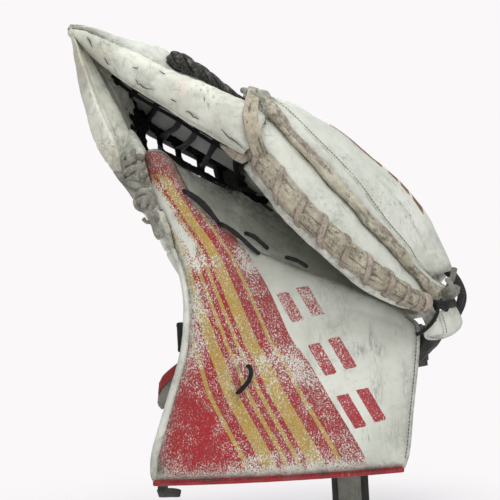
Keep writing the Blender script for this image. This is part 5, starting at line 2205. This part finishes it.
# The back of the hand bends round an upright axis.
HAND_AXIS_X, HAND_AXIS_Y = 20.0, -58.0
HAND_CHANNELS = (-4, 27, 58)  # x + CHANNEL_SLOPE * z on each sewn channel
CHANNEL_SLOPE = 0.25


def on_hand(x, z, radius):
    y = HAND_AXIS_Y + np.sqrt(radius ** 2 - (x - HAND_AXIS_X) ** 2)
    return np.stack([x, y, z], -1)


def hand_grid(rows, columns, inset, radius):
    top = spline([(-47.5, 181), (-38, 180.5), (0, 153.5), (40, 121.5), (62, 106.6)], rows)
    low = spline([(-44.5, 106), (-30, 105.6), (5, 105.4), (35, 105.2), (61.5, 105)], rows)
    v = np.linspace(0, 1, columns)[None, :, None]
    pair = low[:, None] * (1 - v) + top[:, None] * v
    centre = pair.mean((0, 1))
    pair = centre + (pair - centre) * (1 - inset / 45.0)
    return on_hand(pair[..., 0], pair[..., 1], radius)


def back_of_hand():
    rows, columns = 120, 90
    face = hand_grid(rows, columns, inset=1.2, radius=179.6)
    i, j = np.arange(rows)[:, None], np.arange(columns)[None]
    edge = np.minimum(np.minimum(i, rows - 1 - i) * 0.9, np.minimum(j, columns - 1 - j) * 0.8)
    slanted = face[..., 0] + CHANNEL_SLOPE * face[..., 2]
    channels = sum(bump(slanted, place, 1.3) for place in HAND_CHANNELS)
    relief = (-3.0 * np.exp(-edge / 4.5) + 1.4 * (1 - np.exp(-edge / 16))
              - 2.0 * clamp(channels) + 0.5 * fractal(face, 15, 2, 4))
    shape = panel(face, 7.2, BACK, relief=relief, edge_steps=7, bulge=0.55,
                  dirt=clamp(0.7 * channels))
    add("back_of_hand_pad", shape, "white", "cuff", "backhand_pad")

    parts = []
    for place in HAND_CHANNELS:
        for offset in (-2.2, 2.2):
            z = np.linspace(109, 176, 80)
            x = place + offset - CHANNEL_SLOPE * z
            limit = np.interp(x, [-47, -38, 0, 40, 62], [178, 177, 150, 118.5, 105])
            inside = z < limit - 1
            parts.append(stitches(on_hand(x[inside], z[inside], 179.4), 3.2, 2.1, 0.38,
                                  up=BACK))
    add("back_of_hand_stitches", join(parts), "dark_thread", "cuff")

    face = hand_grid(90, 60, inset=2.2, radius=171.2)
    quilt = np.sin(face[..., 0] * 0.5) * np.sin(face[..., 2] * 0.5)
    add("back_of_hand_liner", panel(face, 4.4, BACK, relief_inner=quilt), "lining", "cuff",
        "backhand_liner")


# -------------------------------------------------------------------- straps
# Both straps run behind the wrist round upright axes at these (x, y) places.
WRIST_AXIS = (0, 3.5)
HAND_AXIS = (20.0, 28.0)


def arc(axis, radius, x_start, x_end, count):
    """Points (x, y) round an axis between two x positions, on its back side."""
    angle = np.linspace(*(math.acos((x - axis[0]) / radius) for x in (x_start, x_end)), count)
    return np.column_stack([axis[0] + radius * np.cos(angle), axis[1] + radius * np.sin(angle)])


def upright(line, heights):
    """Grid that raises an (x, y) line, with one row for each of its points."""
    face = np.zeros((len(line), len(heights), 3))
    face[..., :2] = line[:, None]
    face[..., 2] = heights
    return face


def band(axis, radius, thickness, x_range, z_range, seed, slope=0.0, count=160, depth=0.25):
    """Strap round an axis, with raised selvedges. It climbs by slope times x."""
    columns = 34
    low, high = z_range
    v = np.linspace(0, 1, columns)
    face = upright(arc(axis, radius, *x_range, count), low + (high - low) * v)
    face[..., 2] += slope * (face[..., 0] - 124.0)
    edge = np.minimum(v, 1 - v) * (high - low)
    relief = (depth * fractal(face, 30, 2, seed) + 0.12 * fractal(face, 6, 2, seed + 1)
              + 0.35 * bump(edge, 1.6, 0.8)[None])
    return panel(face, thickness, BACK, relief=relief - 0.3, edge_steps=4)


def strap_loop(x, y, radius, thickness, heights):
    """Sewn loop round an anchor pin at (x, y)."""
    angle = np.linspace(math.radians(215), math.radians(-125), 60)
    line = np.column_stack([x + radius * np.cos(angle), y + radius * np.sin(angle)])
    return panel(upright(line, heights), thickness, (0, 0, 1), edge_steps=4)


FOLDED_END = [
    [(-77, 57, 87.9), (-84.7, 58, 83.4), (-91.7, 59, 76.3), (-94.1, 60, 71.4)],
    [(-78.1, 56, 81.5), (-85.8, 57, 76.9), (-92.4, 58, 70.6), (-94.5, 59, 66.6)],
    [(-80.4, 56, 71), (-86.3, 57, 67.9), (-91.5, 58, 64), (-94.5, 59, 62.5)],
    [(-81.6, 57, 63.6), (-86.8, 58, 60.5), (-91.9, 59, 58.2), (-94.3, 60, 59.9)]]
RED_END = [
    [(-74.9, 55, 95.3), (-81.7, 56, 90.7), (-89.5, 57, 84.5), (-93.1, 58, 78.9)],
    [(-75.1, 54, 90.5), (-82.8, 55, 85.9), (-90.1, 56, 79.7), (-93.7, 57, 74.1)],
    [(-76.2, 54, 85.6), (-83.8, 55, 81.5), (-90.8, 56, 75.6), (-94.1, 57, 70)]]
END_FOLD = [
    [(-99.7, 58, -9), (-92.7, 50, -7.5), (-86.7, 44, -7), (-80.8, 38, -7.3)],
    [(-99, 58, -11.9), (-92.9, 50, -10.7), (-86.8, 44, -10.2), (-81.3, 38, -10)],
    [(-98.4, 59, -14.5), (-93.1, 51, -13.5), (-87, 45, -12.9), (-81.9, 39, -12.2)]]
WRIST = "wrist_strap_body"
HAND = "hand_strap_body"


def wrist_strap():
    add("wrist_strap_webbing",
        band(WRIST_AXIS, 115.4, 3.0, (-91.0, 102.0), (44.4, 79.6), seed=3),
        "webbing", WRIST, "wrist_strap")
    add("wrist_strap_sewn_loop", strap_loop(104.5, 60, 4.3, 2.0, np.linspace(45, 79, 30)),
        "webbing", WRIST, "strap_hinge_loop")
    # sewn box: five rows along the strap and two across it
    thread_radius = 115.9
    parts = []
    for z in (47.5, 54.5, 62, 69.5, 76.5):
        line = arc(WRIST_AXIS, thread_radius, 84.0, 97.0, 30)
        parts.append(stitches(np.column_stack([line, np.full(30, z)]), 2.9, 2.0, 0.4,
                              up=(0.6, 0.8, 0)))
    for x in (84.5, 96.5):
        y = WRIST_AXIS[1] + math.sqrt(thread_radius ** 2 - x ** 2)
        z = np.linspace(47.5, 76.5, 40)
        parts.append(stitches(np.column_stack([z * 0 + x, z * 0 + y, z]), 2.9, 2.0, 0.4,
                              up=(0.6, 0.8, 0)))
    add("wrist_strap_box_stitch", join(parts), "thread", WRIST)
    add("wrist_strap_hook_tape",
        band(WRIST_AXIS, 111.6, 1.5, (-89.5, -55.5), (47.4, 76.6), seed=8, count=70,
             depth=0.05),
        "hook", WRIST, "strap_hook_patch")
    cover = band(WRIST_AXIS, 118.1, 2.0, (-91.5, -42.5), (45.4, 78.6), seed=9, count=110,
                 depth=0.35)
    add("wrist_strap_pull_cover", cover.smudge(0.2, 0.5, 12, 4), "red_strap", WRIST,
        "strap_pull_cover")
    line = arc(WRIST_AXIS, 118.6, -90.5, -43.5, 90)
    parts = [stitches(np.column_stack([line, np.full(90, z)]), 3.0, 2.0, 0.38,
                      up=(-0.5, 0.8, 0)) for z in (47.4, 76.6)]
    add("wrist_strap_cover_stitches", join(parts), "thread", WRIST)
    add("wrist_strap_folded_end",
        sheet(FOLDED_END, 44, 30, 2.6, depth=0.5, size=8, seed=3, edge_steps=5),
        "grey_flap", WRIST)
    add("wrist_strap_red_end",
        sheet(RED_END, 40, 20, 2.2, depth=0.3, size=8, seed=13, edge_steps=5),
        "red_strap", WRIST)


def hand_strap():
    slope = -0.085
    add("hand_strap_webbing",
        band(HAND_AXIS, 111.9, 2.4, (-77.4, 123.4), (85.4, 108.6), seed=13, slope=slope),
        "webbing", HAND, "hand_strap")
    add("hand_strap_sewn_loop", strap_loop(124.2, 68, 3.7, 1.7, np.linspace(85.4, 108.6, 24)),
        "webbing", HAND, "hand_strap_loop")
    add("hand_strap_hook_tab",
        band(HAND_AXIS, 114.0, 1.8, (-76.4, -50.6), (87.4, 106.6), seed=15, slope=slope,
             count=70, depth=0.1),
        "hook", HAND, "hand_strap_tab")


def strap_ends():
    """Loose ends that hang below the wrist."""
    z = np.linspace(-33.6, 59.6, 122)
    face = upright(arc(WRIST_AXIS, 117.3, 46.5, 75.6, 34), z).swapaxes(0, 1).copy()
    face[..., 1] += (0.9 * np.sin(z / 13) * clamp((20 - z) / 30))[:, None]
    shape = panel(face, 1.6, BACK, relief=0.25 * fractal(face, 9, 2, 4) - 0.2, edge_steps=4)
    add("strap_tail_webbing", shape, "webbing", WRIST, "strap_tail")
    face = face[3:72, 6:-7] - unit([0.5, 0.8, 0.0]) * 2.6
    shape = panel(face, 1.5, FRONT, relief=0.5 * fractal(face, 8, 2, 14), edge_steps=4)
    add("strap_tail_leather", shape, "grey_flap", WRIST)

    z = np.linspace(-8.6, 43.6, 70)
    face = upright(arc(WRIST_AXIS, 111.5, -101.0, -94.7, 16), z).swapaxes(0, 1).copy()
    face[..., 0] += np.interp(z, [-8.6, 2, 20, 44], [2.0, 3.4, 6.0, 9.5])[:, None]
    shape = panel(face, 2.0, (-0.8, 0.5, 0), relief=0.2 * fractal(face, 6, 2, 4) - 0.1,
                  edge_steps=4)
    add("strap_end_webbing", shape, "webbing", WRIST, "strap_end")
    add("strap_end_fold", sheet(END_FOLD, 40, 14, 2.2, depth=0.15, size=6, seed=4),
        "webbing", WRIST)


def dress_anchors():
    """Gives materials to the CAD parts that stay."""
    for name, material in (("strap_anchor_pin", "steel"), ("hand_anchor_pin", "steel"),
                           ("strap_anchor_tabs", "plastic"), ("hand_anchor_tabs", "plastic")):
        mesh = frame["nodes"][name].data
        mesh.materials.clear()
        mesh.materials.append(MATERIALS[material])
        store_rest_position(mesh)


# ---------------------------------------------------------------- the studio
# Places and sizes below are in metres.
BACKDROP = (0.985, 0.972, 0.978)
FLOOR_HEIGHT = -0.0352
FLOOR_CENTRE_Y = 0.06
FLOOR_RADII = (0.05, 0.1, 0.2, 0.35, 0.55, 0.8, 1.2, 2.0, 4.0, 8.0, 16.0, 40.0)
FLOOR_SEGMENTS = 96


def world():
    """Soft blue-white light, with a plain backdrop for the camera."""
    scene = bpy.context.scene
    scene.view_settings.view_transform = "Standard"
    scene.view_settings.look = "None"
    studio = bpy.data.worlds.new("studio")
    scene.world = studio
    studio.use_nodes = True
    nodes, links = studio.node_tree.nodes, studio.node_tree.links
    nodes.clear()
    output = nodes.new("ShaderNodeOutputWorld")
    light = nodes.new("ShaderNodeBackground")
    backdrop = nodes.new("ShaderNodeBackground")
    mix = nodes.new("ShaderNodeMixShader")
    rays = nodes.new("ShaderNodeLightPath")
    light.inputs["Color"].default_value = (0.93, 0.96, 1.0, 1)
    light.inputs["Strength"].default_value = 0.40
    backdrop.inputs["Color"].default_value = linear(BACKDROP)
    backdrop.inputs["Strength"].default_value = 1.0
    links.new(rays.outputs["Is Camera Ray"], mix.inputs[0])
    links.new(light.outputs[0], mix.inputs[1])
    links.new(backdrop.outputs[0], mix.inputs[2])
    links.new(mix.outputs[0], output.inputs[0])


def floor_material():
    """Diffuse near the glove, fading into the backdrop colour further out."""
    material = bpy.data.materials.new("floor")
    material.use_nodes = True
    nodes, links = material.node_tree.nodes, material.node_tree.links
    nodes.clear()
    output = nodes.new("ShaderNodeOutputMaterial")
    diffuse = nodes.new("ShaderNodeBsdfDiffuse")
    diffuse.inputs["Color"].default_value = (0.93, 0.92, 0.925, 1)
    glow = nodes.new("ShaderNodeEmission")
    glow.inputs["Color"].default_value = linear(BACKDROP)
    mix = nodes.new("ShaderNodeMixShader")
    geometry = nodes.new("ShaderNodeNewGeometry")
    distance = nodes.new("ShaderNodeVectorMath")
    distance.operation = "LENGTH"
    fade = nodes.new("ShaderNodeMapRange")
    fade.inputs["From Min"].default_value = 0.16
    fade.inputs["From Max"].default_value = 0.50
    fade.inputs["To Min"].default_value = 0.55
    fade.inputs["To Max"].default_value = 1.0
    links.new(geometry.outputs["Position"], distance.inputs[0])
    links.new(distance.outputs["Value"], fade.inputs[0])
    links.new(fade.outputs[0], mix.inputs[0])
    links.new(diffuse.outputs[0], mix.inputs[1])
    links.new(glow.outputs[0], mix.inputs[2])
    links.new(mix.outputs[0], output.inputs[0])
    return material


def floor():
    """Round floor of widening rings."""
    count = FLOOR_SEGMENTS
    angles = [2 * math.pi * j / count for j in range(count)]
    points = [(0, 0, FLOOR_HEIGHT)]
    for radius in FLOOR_RADII:
        points += [(radius * math.cos(a), FLOOR_CENTRE_Y + radius * math.sin(a), FLOOR_HEIGHT)
                   for a in angles]
    faces = [(0, 1 + j, 1 + (j + 1) % count) for j in range(count)]
    for ring in range(len(FLOOR_RADII) - 1):
        near, far = 1 + ring * count, 1 + (ring + 1) * count
        faces += [(near + j, far + j, far + (j + 1) % count, near + (j + 1) % count)
                  for j in range(count)]
    mesh = bpy.data.meshes.new("floor")
    mesh.from_pydata(points, [], faces)
    ground = bpy.data.objects.new("floor", mesh)
    bpy.context.scene.collection.objects.link(ground)
    mesh.materials.append(floor_material())


def area_light(name, place, target, size, power, color):
    lamp = bpy.data.lights.new(name, "AREA")
    lamp.shape = "RECTANGLE"
    lamp.size, lamp.size_y = size
    lamp.energy = power
    lamp.color = color
    light = bpy.data.objects.new(name, lamp)
    light.location = place
    aim = Vector(np.array(target) - np.array(place))
    light.rotation_euler = aim.to_track_quat("-Z", "Y").to_euler()
    bpy.context.scene.collection.objects.link(light)


def lights():
    area_light("key_light", place=(0.16, -0.52, 1.40), target=(0, 0.03, 0.2),
               size=(0.9, 0.9), power=11.2, color=(1.0, 0.99, 0.97))
    area_light("top_light", place=(-0.15, 0.25, 1.35), target=(0.02, 0.03, 0.22),
               size=(0.9, 0.7), power=3.5, color=(0.98, 0.99, 1.0))
    area_light("front_fill", place=(0.45, -1.6, 0.12), target=(0, 0.02, 0.15),
               size=(1.2, 0.5), power=3.9, color=(0.97, 0.98, 1.0))
    area_light("low_fill", place=(0.42, -1.1, 0.16), target=(0.03, 0.04, 0.20),
               size=(0.7, 0.5), power=1.7, color=(1.0, 0.99, 0.98))
    area_light("back_light", place=(-0.2, 1.3, 0.9), target=(0, 0.05, 0.18),
               size=(1.2, 0.8), power=6.2, color=(1.0, 1.0, 1.0))


def camera():
    """Looks straight along +y, rolled a little."""
    lens = bpy.data.cameras.new("camera")
    lens.lens, lens.sensor_width, lens.sensor_fit = 128.08, 36.0, "HORIZONTAL"
    lens.clip_start, lens.clip_end = 0.05, 100
    viewer = bpy.data.objects.new("camera", lens)
    roll = math.radians(3.2)
    x, y, z = -0.012595, -1.4, 0.183573
    viewer.matrix_world = Matrix(((math.cos(roll), math.sin(roll), 0, x), (0, 0, -1, y),
                                  (-math.sin(roll), math.cos(roll), 0, z), (0, 0, 0, 1)))
    bpy.context.scene.collection.objects.link(viewer)
    bpy.context.scene.camera = viewer


cuff_board()
lower_edge()
outer_rolled_edge()
wrist_padding()
thumb_palm()
palm_break_roll()
finger_palm()
finger_edge_winding(*finger_rolled_edge())
finger_end_panel()
welt()
finger_shell()
finger_stalls()
thumb_rim()
web_tip_gusset()
rim_cracks(finger_rim())
web_tip_cap()
pocket_cover()
cover_lacing()
upper_pocket()
web_spine()
pocket_lower_binding()
lower_pocket()
thumb_ties()
rim_end()
heel_flap()
heel_laces()
cuff_laces()
worn_fibres()
thumb_stall()
back_of_hand()
wrist_strap()
hand_strap()
strap_ends()
dress_anchors()
world()
floor()
lights()
camera()
